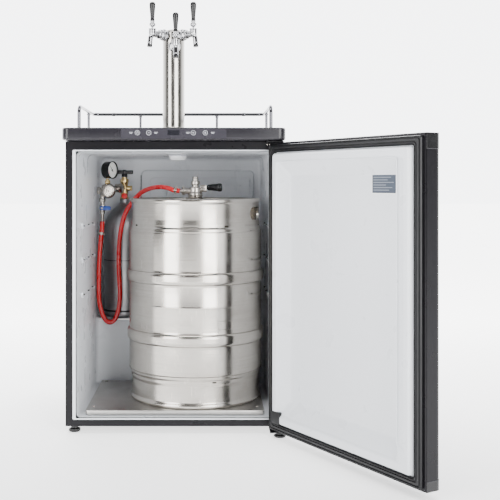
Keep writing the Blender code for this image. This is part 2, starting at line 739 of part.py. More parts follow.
def tap(side, bearing, height):
    """One tap: shank nut and collar on the column, tap body with its spout, lever and handle."""
    out = Matrix.Rotation(math.radians(bearing), 3, "Z") @ Vector((0, -1, 0))
    across = Matrix.Rotation(math.radians(bearing), 3, "Z") @ Vector((1, 0, 0))
    centre = Vector((TOWER.x, TOWER.y, height))

    def at(reach, rise=0.0, side_step=0.0):
        return centre + out * reach + across * side_step + Vector((0, 0, rise))

    face = COLUMN_RADIUS + GAP
    turned(
        f"shank_{side}",
        ((0, 0.0220), (0.0135, 0.0220), (0.0150, 0.0205), (0.0150, 0.0100), (0.0175, 0.0085),
         (0.0175, 0.0045), (0.0150, 0.0025), (0, 0.0025)),
        CHROME, at(face), out, steps=14,
    )
    body = turned(
        f"tap_body_{side}",
        ((0, 0.0600), (0.0060, 0.0600), (0.0100, 0.0560), (0.0110, 0.0500), (0.0110, 0.0310),
         (0.0125, 0.0290), (0.0125, 0.0223), (0, 0.0223)),
        CHROME, at(face), out, steps=16,
    )
    join_rod(body, at(TAP_PIVOT, -0.004), at(TAP_PIVOT, 0.0140), 0.0105, sides=16)
    spout = rounded_path((at(0.078, -0.002), at(0.090, -0.010), at(0.0935, -0.0395)), 0.010, 3)
    join(body, add(f"spout_{side}", tube_mesh(spout, 0.0072, 1), None))
    on = pivot(f"tap_pivot_{side}", at(TAP_PIVOT, 0.0143))
    turned(
        f"tap_lever_{side}",
        ((0, 0.0220), (0.0060, 0.0220), (0.0070, 0.0205), (0.0070, 0.0170), (0.0090, 0.0130),
         (0.0092, 0.0088), (0.0060, 0.0058), (0, 0.0004)),
        CHROME, at(TAP_PIVOT, 0.0143), steps=14, on=on,
    )
    turned(
        f"tap_handle_{side}",
        ((0, 0.0765), (0.0050, 0.0758), (0.0083, 0.0730), (0.0089, 0.0680), (0.0078, 0.0520),
         (0.0062, 0.0360), (0.0060, 0.0223), (0, 0.0223)),
        BLACK_PLASTIC, at(TAP_PIVOT, 0.0143), steps=14, on=on,
    )


# ---------------------------------------------------------------- keg and coupler
def keg():
    inside = (
        (0, 0.0340), (0.1500, 0.0560), (0.1950, 0.1000), (0.1950, 0.4850), (0.1770, 0.5150),
        (0.0245, 0.5495),
    )
    neck_and_head = (
        (0.0245, 0.5690), (0.0290, 0.5690), (0.0290, 0.5535), (0.1200, 0.5425), (0.1765, 0.5205),
    )
    top_chime = (
        (0.1850, 0.5195), (0.1850, 0.5850), (0.1880, KEG_HEIGHT), (0.1935, 0.5910), (0.1945, 0.5820),
        (0.1915, 0.5760), (0.1915, 0.5200), (0.1980, 0.5040),
    )
    wall = KEG_RADIUS - 0.0060
    ribs = []
    for middle in (0.3650, 0.1920):
        for rise, radius in ((0.026, wall), (0.0105, KEG_RADIUS), (-0.0105, KEG_RADIUS), (-0.026, wall)):
            ribs.append((radius, middle + rise))
    bottom_chime = (
        (0.1980, 0.0890), (0.1915, 0.0740), (0.1915, 0.0140), (0.1935, 0.0060), (0.1900, 0),
        (0.1865, 0.0030), (0.1855, 0.0680),
    )
    bottom_head = ((0.1780, 0.0665), (0.1200, 0.0420), (0, 0.0305))
    shell = turned(
        "keg", (*inside, *neck_and_head, *top_chime, *ribs, *bottom_chime, *bottom_head), KEG_STEEL,
        KEG_CENTRE, steps=28,
    )
    for turn in (-20.6, 159.4):
        hole = prism(
            "hand_hole", rounded_rectangle(-0.040, 0.040, 0.5270, 0.5650, 0.0185), 0.172, 0.205, "X", None
        )
        hole.matrix_basis = Matrix.Translation(KEG_CENTRE) @ Matrix.Rotation(math.radians(turn), 4, "Z")
        cut(shell, hole)

    turned(
        "keg_spear",
        ((0, 0.5760), (0.0270, 0.5760), (0.0280, 0.5745), (0.0280, 0.5693), (0.0240, 0.5693),
         (0.0240, 0.5480), (0.0180, 0.5450), (0.0080, 0.5400), (0.0080, 0.0450), (0, 0.0450)),
        KEG_STEEL, KEG_CENTRE, steps=14,
    )


def coupler():
    base = KEG_CENTRE + Vector((0, 0, 0.5763))

    def at(x, y, z):
        return base + Vector((x, y, z))

    body = turned(
        "coupler_body",
        ((0.0170, 0.0480), (0.0190, 0.0460), (0.0190, 0.0180), (0.0290, 0.0140), (0.0310, 0.0110),
         (0.0310, 0.0030), (0.0290, 0), (0.0112, 0), (0.0112, 0.0480), (0.0170, 0.0480)),
        NICKEL, base, steps=18,
    )
    join_box(body, at(0.0150, -0.0100, 0.0340), at(0.0340, 0.0100, 0.0540))
    join_rod(body, at(-0.0150, 0, 0.0369), at(-0.0300, 0, 0.0369), 0.0090)
    cut_box(body, at(0.0195, -0.0056, 0.0395), at(0.05, 0.0056, 0.06))
    cut_rod(body, at(0.0270, -0.02, 0.0470), at(0.0270, 0.02, 0.0470), 0.0026, sides=12)

    slide = pivot("coupler_slide_axis", base)
    turned(
        "coupler_probe",
        ((0, 0.0799), (0.0085, 0.0799), (0.0090, 0.0670), (0.0130, 0.0655), (0.0130, 0.0560),
         (0.0100, 0.0550), (0.0100, 0.0040), (0, 0.0040)),
        NICKEL, base, steps=18, on=slide,
    )
    hinge = pivot("coupler_lever_pivot", at(0.0270, 0, 0.0470))
    lever = turned(
        "coupler_lever",
        ((0, 0.0540), (0.0080, 0.0530), (0.0120, 0.0480), (0.0125, 0.0410), (0.0105, 0.0330),
         (0.0080, 0.0250), (0.0050, 0.0230), (0.0050, 0), (0, 0)),
        BLACK_PLASTIC, at(0.0270, 0, 0.0470), (1, 0, 0), steps=16, on=hinge,
    )
    join_rod(lever, at(0.0270, -0.0050, 0.0470), at(0.0270, 0.0050, 0.0470), 0.0062, hinge)
    join_rod(lever, at(0.0270, -0.0112, 0.0470), at(0.0270, 0.0112, 0.0470), 0.0022, hinge, sides=12)

    turned(
        "gas_inlet",
        ((0, 0.0160), (0.0045, 0.0160), (0.0050, 0.0110), (0.0115, 0.0105), (0.0115, 0.0010),
         (0.0100, 0.0003), (0, 0.0003)),
        NICKEL, at(-0.0300, 0, 0.0369), (-1, 0, 0), steps=12,
    )


# ---------------------------------------------------------------- gas bottle, valve and regulator
NECK = BOTTLE_CENTRE + Vector((0, 0, 0.3860))
OUTLET = Vector((BOTTLE_CENTRE.x, BOTTLE_CENTRE.y, 0.6800))
REGULATOR = Vector((-0.2330, 0.4230, 0.6720))
BONNET_AIM = Vector((0.26, -0.966, 0))
GAUGE = Vector((-0.2266, 0.4200, 0.7393))
GAUGE_AIM = Vector((0.866, -0.5, 0))
GAUGE_DEPTH = 0.030
TAIL = Vector((-0.2500, 0.4230, 0.5740))


def bottle():
    turned(
        "gas_bottle",
        ((0, 0.0160), (0.0605, 0.0180), (0.0605, 0.2750), (0.0510, 0.3210), (0.0120, 0.3600),
         (0.0115, 0.3860), (0.0145, 0.3860),
         (0.0150, 0.3720), (0.0200, 0.3660), (0.0400, 0.3500), (0.0570, 0.3250), (0.0645, 0.3000),
         (BOTTLE_RADIUS, 0.2750), (BOTTLE_RADIUS, 0.0120), (0.0640, 0.0030), (0.0600, 0),
         (0.0500, 0.0020), (0, 0.0090)),
        ALUMINIUM, BOTTLE_CENTRE, steps=24,
    )
    valve = turned(
        "bottle_valve",
        ((0, 0.0720), (0.0130, 0.0720), (0.0140, 0.0700), (0.0140, 0.0520), (0.0110, 0.0430),
         (0.0120, 0.0410), (0.0120, 0.0050), (0.0145, 0.0035), (0.0145, 0.0003), (0.0107, 0.0003),
         (0.0107, -0.0150), (0, -0.0150)),
        BRASS, NECK, steps=16,
    )
    join_rod(valve, OUTLET, OUTLET + Vector((0.0260, 0, 0)), 0.0085)
    towards = (REGULATOR - OUTLET).xy.to_3d().normalized()
    join_rod(valve, OUTLET, OUTLET + towards * 0.0200, 0.0095)
    relief = Vector((NECK.x + 0.003, NECK.y, 0.6550))
    join_rod(valve, relief, relief + Vector((0, -0.0150, 0)), 0.0050, sides=12)
    rod(
        "relief_cap", relief + Vector((0, -0.0153, 0)), relief + Vector((0, -0.0310, 0)), 0.0080,
        RED_PLASTIC, sides=12,
    )
    top = NECK + Vector((0, 0, 0.0720 + GAP))
    on = pivot("valve_handle_axis", top)
    hub = ((0, 0.0105), (0.0090, 0.0105), (0.0100, 0), (0, 0))
    handle = turned("valve_handle", hub, BLACK_PLASTIC, top, steps=12, on=on)
    join_box(handle, top + Vector((-0.030, -0.0065, 0.0095)), top + Vector((0.030, 0.0065, 0.0225)), on)
    return towards


def regulator(towards):
    nut = OUTLET + towards * 0.0203
    core = turned(
        "regulator",
        ((0, 0.0300), (0.0190, 0.0300), (0.0215, 0.0280), (0.0225, 0.0230), (0.0225, 0.0115),
         (0.0245, 0.0105), (0.0245, -0.0050), (0.0220, -0.0150), (0, -0.0160)),
        NICKEL, REGULATOR, BONNET_AIM, steps=20,
    )
    join_rod(core, nut, nut + towards * 0.0200, 0.0155, sides=6)
    join_rod(core, nut + towards * 0.0190, OUTLET + towards * 0.0850, 0.0075, sides=12)
    left = REGULATOR.x
    y, z = REGULATOR.y, REGULATOR.z
    join_rod(core, (left, y, z), (left - 0.0280, y, z), 0.0085, sides=12)
    join_rod(core, (left - 0.0240, y, z), (left - 0.0335, y, z), 0.0110, sides=6)
    join_rod(core, (TAIL.x, y, z + 0.0023), (TAIL.x, y, 0.6000), 0.0070, sides=14)
    join_rod(core, (TAIL.x, y, 0.6480), (TAIL.x, y, 0.6370), 0.0105, sides=6)
    join_rod(core, (TAIL.x, y, 0.6280), (TAIL.x, y, 0.6050), 0.0100, sides=12)
    join_rod(core, (TAIL.x, y, 0.6010), TAIL, 0.0045, sides=10)
    stem = GAUGE - GAUGE_AIM * 0.0080
    join_rod(core, (stem.x, stem.y, REGULATOR.z), (stem.x, stem.y, 0.7105), 0.0050, sides=12)

    face = REGULATOR + BONNET_AIM * (0.0300 + GAP)
    on = pivot("pressure_screw_axis", face)
    turned(
        "pressure_screw",
        ((0, 0.0160), (0.0050, 0.0160), (0.0060, 0.0150), (0.0060, 0.0040), (0.0090, 0.0035),
         (0.0090, 0), (0, 0)),
        NICKEL, face, BONNET_AIM, steps=6, on=on,
    )
    back = GAUGE - GAUGE_AIM * (GAUGE_DEPTH / 2)
    turned(
        "gauge_case",
        ((0, 0.0245), (0.0262, 0.0245), (0.0262, GAUGE_DEPTH), (0.0285, GAUGE_DEPTH), (0.0285, 0.0015),
         (0.0270, 0), (0, 0)),
        BLACK_PLASTIC, back, GAUGE_AIM, steps=24,
    )
    dial = back + GAUGE_AIM * 0.0248
    on = pivot("gauge_needle_axis", dial)
    needle = turned(
        "gauge_needle", ((0, 0.0022), (0.0030, 0.0022), (0.0030, 0), (0, 0)), BLACK_PLASTIC, dial,
        GAUGE_AIM, steps=10, on=on,
    )
    across = GAUGE_AIM.cross(Vector((0, 0, 1)))
    up_left = (Vector((0, 0, 1)) + across * 0.8).normalized()
    tail, tip = dial + GAUGE_AIM * 0.0012 - up_left * 0.007, dial + GAUGE_AIM * 0.0012 + up_left * 0.0200
    join_rod(needle, tail, tip, 0.0009, on, sides=6, end_radius=0.0004)

    on = pivot("shutoff_axis", (TAIL.x, REGULATOR.y, 0.6163))
    front = REGULATOR.y - 0.0103
    lever = box(
        "shutoff_lever", (TAIL.x - 0.0070, front - 0.0085, 0.6095),
        (TAIL.x + 0.0290, front - 0.0020, 0.6231), BLUE_PLASTIC, on,
    )
    bevel(lever, 0.002)
    join_rod(lever, (TAIL.x, front - 0.0060, 0.6163), (TAIL.x, front, 0.6163), 0.0055, on, sides=12)


def gas_hose():
    path = smooth_path(HOSE_ROUTE, 2)
    tube("gas_hose", path, HOSE_RADIUS, RED_HOSE, roundness=2)
    for name, index in (("hose_clamp_bottle", 3), ("hose_clamp_coupler", len(path) - 2)):
        along = path[index + 1] - path[index - 1]
        turned(
            name,
            ((0.0092, 0.0035), (0.0092, -0.0035), (0.0079, -0.0035), (0.0079, 0.0035), (0.0092, 0.0035)),
            NICKEL, path[index], along, steps=16,
        )


cabinet()
cabinet_feet()
worktop()
guardrail()
compressor_bay()
door()
door_hinges()
tower()
keg()
coupler()
regulator(bottle())
gas_hose()
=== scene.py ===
"""Looks of the three-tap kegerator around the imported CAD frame: camera, studio, finishes and fine pieces.

Pieces are drawn in cabinet coordinates, in metres: X = 0 at the middle of the cabinet, Y = 0 at its front
flange and Z = 0 on the floor, with the door closed. CABINET and DOOR place them in the row frame.
"""

import json
import math

import bmesh
import bpy
from mathutils import Matrix, Vector


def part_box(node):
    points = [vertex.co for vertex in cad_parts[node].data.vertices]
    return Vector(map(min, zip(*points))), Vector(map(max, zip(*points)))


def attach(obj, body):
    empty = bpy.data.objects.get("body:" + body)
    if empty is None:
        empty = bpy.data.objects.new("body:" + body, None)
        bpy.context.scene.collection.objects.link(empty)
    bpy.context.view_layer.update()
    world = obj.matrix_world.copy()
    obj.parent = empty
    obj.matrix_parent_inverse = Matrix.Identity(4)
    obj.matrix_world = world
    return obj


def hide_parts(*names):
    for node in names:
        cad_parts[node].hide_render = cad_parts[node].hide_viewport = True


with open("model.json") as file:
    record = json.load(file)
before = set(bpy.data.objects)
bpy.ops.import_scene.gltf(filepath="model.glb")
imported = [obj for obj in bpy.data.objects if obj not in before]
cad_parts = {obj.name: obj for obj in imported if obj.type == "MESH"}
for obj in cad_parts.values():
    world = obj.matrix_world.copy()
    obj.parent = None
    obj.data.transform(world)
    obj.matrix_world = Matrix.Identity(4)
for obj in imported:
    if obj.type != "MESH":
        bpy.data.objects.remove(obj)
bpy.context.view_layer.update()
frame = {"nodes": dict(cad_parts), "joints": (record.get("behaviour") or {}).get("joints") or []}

# ---------------------------------------------------------------- places read from the frame
JOINTS = {joint["name"]: joint for joint in frame["joints"]}
SHELL_LOW, SHELL_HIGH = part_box("cabinet_shell")
ORIGIN = Vector(((SHELL_LOW.x + SHELL_HIGH.x) / 2, SHELL_LOW.y, 0.0))


def node_box(node):
    low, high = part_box(node)
    return low - ORIGIN, high - ORIGIN


def foot_of(node):
    """The middle of a node's box, at its lowest level."""
    low, high = node_box(node)
    return Vector(((low.x + high.x) / 2, (low.y + high.y) / 2, low.z))


def pivot(joint):
    return Vector(JOINTS[joint]["pos_m"]) - ORIGIN


HALF = (SHELL_HIGH.x - SHELL_LOW.x) / 2
DOOR_ANGLE = 120.35  # degrees open at rest
PIN = pivot("door_hinge")
PIN.z = 0.0
CABINET = Matrix.Translation(ORIGIN)
DOOR = CABINET @ Matrix.Translation(PIN) @ Matrix.Rotation(math.radians(DOOR_ANGLE), 4, "Z")
DOOR = DOOR @ Matrix.Translation(-PIN)
scene = bpy.context.scene


# ---------------------------------------------------------------- camera, floor and lights
LENS = 65.66
LENS_SHIFT = (0.081, -0.1313)  # a level camera with a shifted lens keeps uprights upright
CAMERA = Vector((0.0971, -2.532, 0.693))
FLOOR_SIZE = 60.0
FLOOR_GLOW = (-0.6, 2.0, 0.75, 4.6)  # from and to along Y, and the strength at each
WORLD_SPREAD = (-0.2, 0.8, 0.14, 6.1)  # the same for the world, with Y of the direction looked in
# name, place, aim, size, power
LIGHTS = (
    ("box_left", (-2.15, -2.45, 1.05), (0.05, 0.2, 0.5), (1.5, 2.4), 120),
    ("box_right", (1.75, -2.85, 1.05), (0.05, 0.2, 0.5), (1.9, 2.4), 175),
    ("box_top", (-0.1, -0.9, 3.0), (0.0, 0.2, 0.5), (2.2, 0.9), 60),
    ("box_behind", (0.0, 3.0, 2.8), (0.0, 0.5, 0.4), (3.5, 1.2), 90),
)


def camera():
    data = bpy.data.cameras.new("camera")
    data.lens = LENS
    data.shift_x, data.shift_y = LENS_SHIFT
    made = bpy.data.objects.new("camera", data)
    made.location = ORIGIN + CAMERA
    made.rotation_euler = (math.radians(90), 0, 0)
    scene.collection.objects.link(made)
    scene.camera = made


def area_light(name, place, target, size, power):
    data = bpy.data.lights.new(name, "AREA")
    data.shape = "RECTANGLE"
    data.size, data.size_y = size
    data.energy = power
    made = bpy.data.objects.new(name, data)
    made.location = place
    made.rotation_euler = (Vector(target) - Vector(place)).to_track_quat("-Z", "Y").to_euler()
    made.visible_camera = False
    scene.collection.objects.link(made)


def studio():
    """A pale floor that glows softly towards the back, a world that does the same, and four soft boxes."""
    half = FLOOR_SIZE / 2
    mesh = bpy.data.meshes.new("floor")
    corners = [(-half, -half, 0), (half, -half, 0), (half, half, 0), (-half, half, 0)]
    mesh.from_pydata(corners, [], [(0, 1, 2, 3)])
    floor = bpy.data.objects.new("floor", mesh)
    scene.collection.objects.link(floor)
    paper = NodeMaterial("paper", (0.9, 0.9, 0.9), roughness=(0.85, 0.95))
    paper.set("Emission Color", (1.0, 1.0, 1.0, 1.0))
    parted = paper.node("ShaderNodeSeparateXYZ")
    paper.tree.links.new(paper.place, parted.inputs[0])
    paper.join(paper.span(parted.outputs["Y"], *FLOOR_GLOW), "Emission Strength")
    mesh.materials.append(paper.made)

    world = bpy.data.worlds.new("studio")
    scene.world = world
    world.use_nodes = True
    tree = world.node_tree
    background = tree.nodes["Background"]
    background.inputs["Color"].default_value = (0.97, 0.98, 1.0, 1.0)
    towards = tree.nodes.new("ShaderNodeTexCoord")
    parted = tree.nodes.new("ShaderNodeSeparateXYZ")
    spread = tree.nodes.new("ShaderNodeMapRange")
    for name, value in zip(("From Min", "From Max", "To Min", "To Max"), WORLD_SPREAD):
        spread.inputs[name].default_value = value
    tree.links.new(towards.outputs["Generated"], parted.inputs[0])
    tree.links.new(parted.outputs["Y"], spread.inputs["Value"])
    tree.links.new(spread.outputs["Result"], background.inputs["Strength"])
    for name, place, target, size, power in LIGHTS:
        area_light(name, ORIGIN + Vector(place), ORIGIN + Vector(target), size, power)


# ---------------------------------------------------------------- finishes
class NodeMaterial:
    """Principled material whose colour, roughness and bump come from noise in object coordinates."""

    def __init__(self, name, colour, second=None, roughness=(0.4, 0.5), metallic=0.0, grain=60,
                 detail=4.0, bump=0.0, depth=0.0005, coat=0.0, specular=0.5, blotch=14.0, anisotropic=0.0):
        self.made = bpy.data.materials.new(name)
        self.made.use_nodes = True
        self.made.diffuse_color = (*colour, 1.0)
        self.tree = self.made.node_tree
        self.shader = self.tree.nodes["Principled BSDF"]
        self.set("Metallic", metallic)
        self.set("Coat Weight", coat)
        self.set("Coat Roughness", 0.12)
        self.set("Specular IOR Level", specular)
        self.set("Anisotropic", anisotropic)
        self.place = self.node("ShaderNodeTexCoord").outputs["Object"]
        self.grain = self.noise(grain, detail)
        spots = self.noise(blotch, 3.0)
        self.colour = self.mix(self.grain, colour, second or tuple(channel * 0.86 for channel in colour))
        self.join(self.colour, "Base Color")
        self.join(self.span(spots, 0.35, 0.65, *roughness), "Roughness")
        if bump:
            self.join(self.bump(self.grain, bump, depth), "Normal")

    def node(self, kind, **sockets):
        made = self.tree.nodes.new(kind)
        for name, value in sockets.items():
            made.inputs[name].default_value = value
        return made

    def set(self, socket, value):
        self.shader.inputs[socket].default_value = value

    def join(self, output, socket):
        self.tree.links.new(output, self.shader.inputs[socket])

    def noise(self, scale, detail=4.0, roughness=0.55):
        """Scale is one number, or one for each axis."""
        mapping = self.node("ShaderNodeMapping", Scale=scale if isinstance(scale, tuple) else (scale,) * 3)
        self.tree.links.new(self.place, mapping.inputs["Vector"])
        made = self.node("ShaderNodeTexNoise", Scale=1.0, Detail=detail, Roughness=roughness)
        self.tree.links.new(mapping.outputs["Vector"], made.inputs["Vector"])
        return made.outputs["Fac"]

    def cells(self, scale):
        made = self.node("ShaderNodeTexVoronoi", Scale=scale)
        self.tree.links.new(self.place, made.inputs["Vector"])
        return made.outputs["Distance"]

    def span(self, value, low, high, to_low, to_high):
        made = self.node("ShaderNodeMapRange")
        for index, number in enumerate((low, high, to_low, to_high), 1):
            made.inputs[index].default_value = number
        self.tree.links.new(value, made.inputs[0])
        return made.outputs[0]

    def mix(self, factor, first, second):
        made = self.node("ShaderNodeMix")
        made.data_type = "RGBA"
        self.tree.links.new(factor, made.inputs[0])
        for socket, colour in ((made.inputs[6], first), (made.inputs[7], second)):
            if isinstance(colour, tuple):
                socket.default_value = (*colour, 1.0)
            else:
                self.tree.links.new(colour, socket)
        return made.outputs[2]

    def bump(self, height, strength, distance, onto=None):
        made = self.node("ShaderNodeBump", Strength=strength, Distance=distance)
        self.tree.links.new(height, made.inputs["Height"])
        if onto:
            self.tree.links.new(onto, made.inputs["Normal"])
        return made.outputs["Normal"]


def scuffed(name, colour, second, roughness, grain, bump, marks, mark_colour):
    """Brushed metal with stains, rubbed patches and fine stray scratches."""
    made = NodeMaterial(name, colour, second, roughness, 1.0, grain, 5.0, blotch=9.0)
    stain = made.span(made.noise((5, 5, 9), 6.0, 0.62), 0.5, 0.72, 0.0, marks)
    tinted = made.mix(stain, made.colour, mark_colour)
    scratch = made.span(made.noise((260, 260, 30), 2.0), 0.66, 0.7, 0.0, 0.45)
    made.join(made.mix(scratch, tinted, tuple(min(1.0, channel * 1.35) for channel in colour)), "Base Color")
    fine = made.bump(made.grain, bump, 0.0004)
    made.join(made.bump(made.noise(7, 3.0), 0.1, 0.004, fine), "Normal")
    return made.made


def stippled(name, colour, roughness, cells, bump, ripple=0.03, **more):
    """Moulded plastic or powder coat with a pebbled surface."""
    made = NodeMaterial(name, colour, roughness=roughness, **more)
    fine = made.bump(made.cells(cells), bump, 0.0003)
    made.join(made.bump(made.noise(30, 2.0), ripple, 0.001, fine), "Normal")
    return made.made


def metal(colour, second, roughness, **more):
    return dict(colour=colour, second=second, roughness=roughness, metallic=1.0, **more)


def finishes():
    """Every finish: name of the material -> (material, the record's slot)."""
    pebbled = dict(roughness=(0.25, 0.4), grain=200, bump=0.05)
    plain = {
        "chrome": dict(colour=(0.44, 0.44, 0.45), roughness=(0.05, 0.12), metallic=1.0, grain=30),
        # The rail's chrome is a darker copy of chrome: painted shade standing in for the rail's dark
        # reflections
        "shaded_rail_chrome": metal((0.13, 0.13, 0.14), (0.1, 0.1, 0.11), (0.08, 0.18), grain=30),
        "tower_steel": metal((0.45, 0.43, 0.4), (0.37, 0.355, 0.33), (0.16, 0.22), grain=(500, 500, 10),
                             bump=0.04, anisotropic=0.3),
        "nickel": metal((0.52, 0.485, 0.44), (0.26, 0.24, 0.22), (0.16, 0.34), grain=90, bump=0.05),
        "brass": metal((0.7, 0.52, 0.25), (0.52, 0.37, 0.16), (0.2, 0.38), grain=70, bump=0.05),
        "copper": metal((0.6, 0.28, 0.16), (0.42, 0.19, 0.11), (0.25, 0.45)),
        "plate_steel": metal((0.46, 0.45, 0.43), (0.36, 0.35, 0.34), (0.3, 0.42), grain=(6, 700, 700),
                             bump=0.08, anisotropic=0.4),
        "red_hose": dict(colour=(0.66, 0.012, 0.018), second=(0.5, 0.008, 0.012), roughness=(0.22, 0.36),
                         grain=120, bump=0.06, coat=0.25),
        "red_plastic": dict(colour=(0.72, 0.006, 0.008), **pebbled),
        "blue_plastic": dict(colour=(0.008, 0.055, 0.34), **pebbled),
        "lens": dict(colour=(0.88, 0.89, 0.9), roughness=(0.15, 0.25), grain=200, bump=0.05),
        "dial": dict(colour=(0.9, 0.9, 0.87), second=(0.84, 0.84, 0.8), roughness=(0.45, 0.6)),
        "ink": dict(colour=(0.03, 0.03, 0.035), roughness=(0.45, 0.6)),
        "print": dict(colour=(0.55, 0.56, 0.6), second=(0.48, 0.49, 0.53), roughness=(0.4, 0.55)),
        "label_print": dict(colour=(0.22, 0.24, 0.28), second=(0.18, 0.2, 0.24), roughness=(0.4, 0.55)),
        "display": dict(colour=(0.012, 0.012, 0.016), roughness=(0.05, 0.1), coat=0.6),
        "label_ground": dict(colour=(0.035, 0.048, 0.072), second=(0.028, 0.04, 0.062),
                             roughness=(0.4, 0.55)),
        "foam": dict(colour=(0.8, 0.72, 0.45), second=(0.66, 0.58, 0.34), roughness=(0.85, 0.95),
                     grain=300, bump=0.6, depth=0.001),
    }
    slots = {"shaded_rail_chrome": "chrome", "copper": "brass", "dial": "lens", "ink": "black_plastic",
             "print": "control_key", "label_print": "control_key",
             "display": "control_strip", "label_ground": "control_key"}
    made = {
        name: (NodeMaterial(name, **values).made, slots.get(name, name)) for name, values in plain.items()
    }
    keg = scuffed("keg_steel", (0.56, 0.53, 0.485), (0.4, 0.375, 0.34), (0.17, 0.27), (5, 5, 420), 0.06,
                  0.55, (0.3, 0.27, 0.235))
    bottle = scuffed("bottle_aluminium", (0.4, 0.4, 0.41), (0.3, 0.3, 0.31), (0.3, 0.44), (9, 9, 500),
                     0.12, 0.6, (0.24, 0.24, 0.25))
    made["keg_steel"] = (keg, "keg_steel")
    made["bottle_aluminium"] = (bottle, "bottle_aluminium")
    for name, colour, roughness, cells, bump, more in (
        ("black_paint", (0.006, 0.0055, 0.007), (0.27, 0.31), 900, 0.06, dict(specular=0.19, ripple=0.008)),
        ("worktop_black", (0.0125, 0.0115, 0.015), (0.23, 0.28), 700, 0.08,
         dict(specular=0.35, ripple=0.008)),
        ("control_strip", (0.028, 0.026, 0.033), (0.24, 0.32), 1200, 0.05, dict(specular=0.3)),
        ("control_key", (0.033, 0.031, 0.039), (0.25, 0.33), 1200, 0.05, dict(specular=0.3)),
        ("white_liner", (0.66, 0.68, 0.71), (0.27, 0.32), 300, 0.004,
         dict(second=(0.645, 0.665, 0.695), ripple=0.006)),
        ("black_rubber", (0.006, 0.006, 0.007), (0.38, 0.5), 1500, 0.08, dict(specular=0.3)),
        ("black_plastic", (0.006, 0.006, 0.0065), (0.18, 0.28), 900, 0.04, dict(specular=0.4)),
    ):
        made[name] = (stippled(name, colour, roughness, cells, bump, **more), name)
    return made


# ---------------------------------------------------------------- modelling helpers
FINISH = {}  # filled by finishes() when the scene is made


def piece(name, data, finish, body="cabinet", stands_for=(), place=CABINET):
    """Puts a mesh or curve in the scene with its finish, riding on a CAD body."""
    material, slot = FINISH[finish]
    made = bpy.data.objects.new(name, data)
    scene.collection.objects.link(made)
    made.matrix_world = place
    data.materials.clear()
    data.materials.append(material)
    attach(made, body)
    if stands_for:
        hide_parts(*stands_for)
    return made


def finished(shape, sharp=35):
    """Mesh from a bmesh, with outward normals, smooth below the sharp angle."""
    bmesh.ops.recalc_face_normals(shape, faces=shape.faces)
    mesh = bpy.data.meshes.new("mesh")
    shape.to_mesh(mesh)
    shape.free()
    mesh.shade_smooth()
    mesh.set_sharp_from_angle(angle=math.radians(sharp))
    return mesh


def merged(meshes, sharp=35):
    shape = bmesh.new()
    for mesh in meshes:
        shape.from_mesh(mesh)
        bpy.data.meshes.remove(mesh)
    return finished(shape, sharp)


def moved(mesh, matrix):
    mesh.transform(matrix)
    return mesh


def shifted(mesh, offset):
    return moved(mesh, Matrix.Translation(offset))


def spun(mesh, angle):
    """Turns a mesh about Z."""
    return moved(mesh, Matrix.Rotation(angle, 4, "Z"))


def aimed(origin, direction):
    """Places a piece drawn along +Z at origin, pointing along direction."""
    turn = Vector(direction).normalized().to_track_quat("Z", "Y").to_matrix().to_4x4()
    return Matrix.Translation(origin) @ turn


def eased(points, radius, steps=3):
    """A 2-D line with each inner corner rounded."""
    points = [Vector(point) for point in points]
    line = [points[0]]
    for before, corner, after in zip(points, points[1:], points[2:]):
        into, out = before - corner, after - corner
        reach = min(radius, into.length * 0.45, out.length * 0.45)
        start, end = corner + into.normalized() * reach, corner + out.normalized() * reach
        for step in range(steps + 1):
            t = step / steps
            line.append(start * (1 - t) ** 2 + corner * 2 * t * (1 - t) + end * t**2)
    line.append(points[-1])
    return line


def lathe(profile, steps=64, ease=0.0, ease_steps=3, sharp=35):
    """Turned mesh about Z from (radius, height) points, top first down the outer side."""
    profile = [Vector(point) for point in profile]
    if ease:
        profile = eased(profile, ease, ease_steps)
    shape = bmesh.new()
    rings = []
    for radius, height in profile:
        if radius < 1e-7:
            rings.append([shape.verts.new((0, 0, height))])
            continue
        turns = [math.tau * step / steps for step in range(steps)]
        rings.append([shape.verts.new((radius * math.cos(a), radius * math.sin(a), height)) for a in turns])
    for ring, following in zip(rings, rings[1:]):
        for i in range(steps):
            j = (i + 1) % steps
            corners = [ring[i % len(ring)], ring[j % len(ring)], following[j % len(following)],
                       following[i % len(following)]]
            corners = list(dict.fromkeys(corners))
            if len(corners) > 2:
                shape.faces.new(corners)
    bmesh.ops.remove_doubles(shape, verts=shape.verts, dist=1e-6)
    return finished(shape, sharp)


def hoop(outer, inner, high, low):
    """Closed profile of a flat ring, for lathe."""
    return ((outer, high), (outer, low), (inner, low), (inner, high), (outer, high))


def rod(start, end, radius, steps=32, edge=0.0006, end_radius=None):
    """Cylinder or cone with eased rims; six steps make a nut."""
    start, end = Vector(start), Vector(end)
    far = (end - start).length
    last = radius if end_radius is None else end_radius
    profile = ((0, far), (last, far), (radius, 0), (0, 0))
    return moved(lathe(profile, steps, edge, 2), aimed(start, end - start))


def block(low, high, edge=0.0, segments=3):
    low, high = Vector(low), Vector(high)
    shape = bmesh.new()
    bmesh.ops.create_cube(shape, size=1.0)
    bmesh.ops.scale(shape, vec=high - low, verts=shape.verts)
    bmesh.ops.translate(shape, vec=(low + high) / 2, verts=shape.verts)
    if edge:
        bmesh.ops.bevel(shape, geom=shape.edges[:], offset=edge, segments=segments, affect="EDGES",
                        profile=0.5)
    return finished(shape)


def outline(left, right, low, high, radii, steps=8):
    """Rounded rectangle, anticlockwise from the lower right corner; radii is one number or four."""
    if not isinstance(radii, tuple):
        radii = (radii,) * 4
    points = []
    corners = ((right, low, -90), (right, high, 0), (left, high, 90), (left, low, 180))
    for (u, v, start), radius in zip(corners, radii):
        centre_u = u + (-radius if u == right else radius)
        centre_v = v + (radius if v == low else -radius)
        for step in range(steps + 1):
            angle = math.radians(start + 90 * step / steps)
            points.append((centre_u + radius * math.cos(angle), centre_v + radius * math.sin(angle)))
    return points


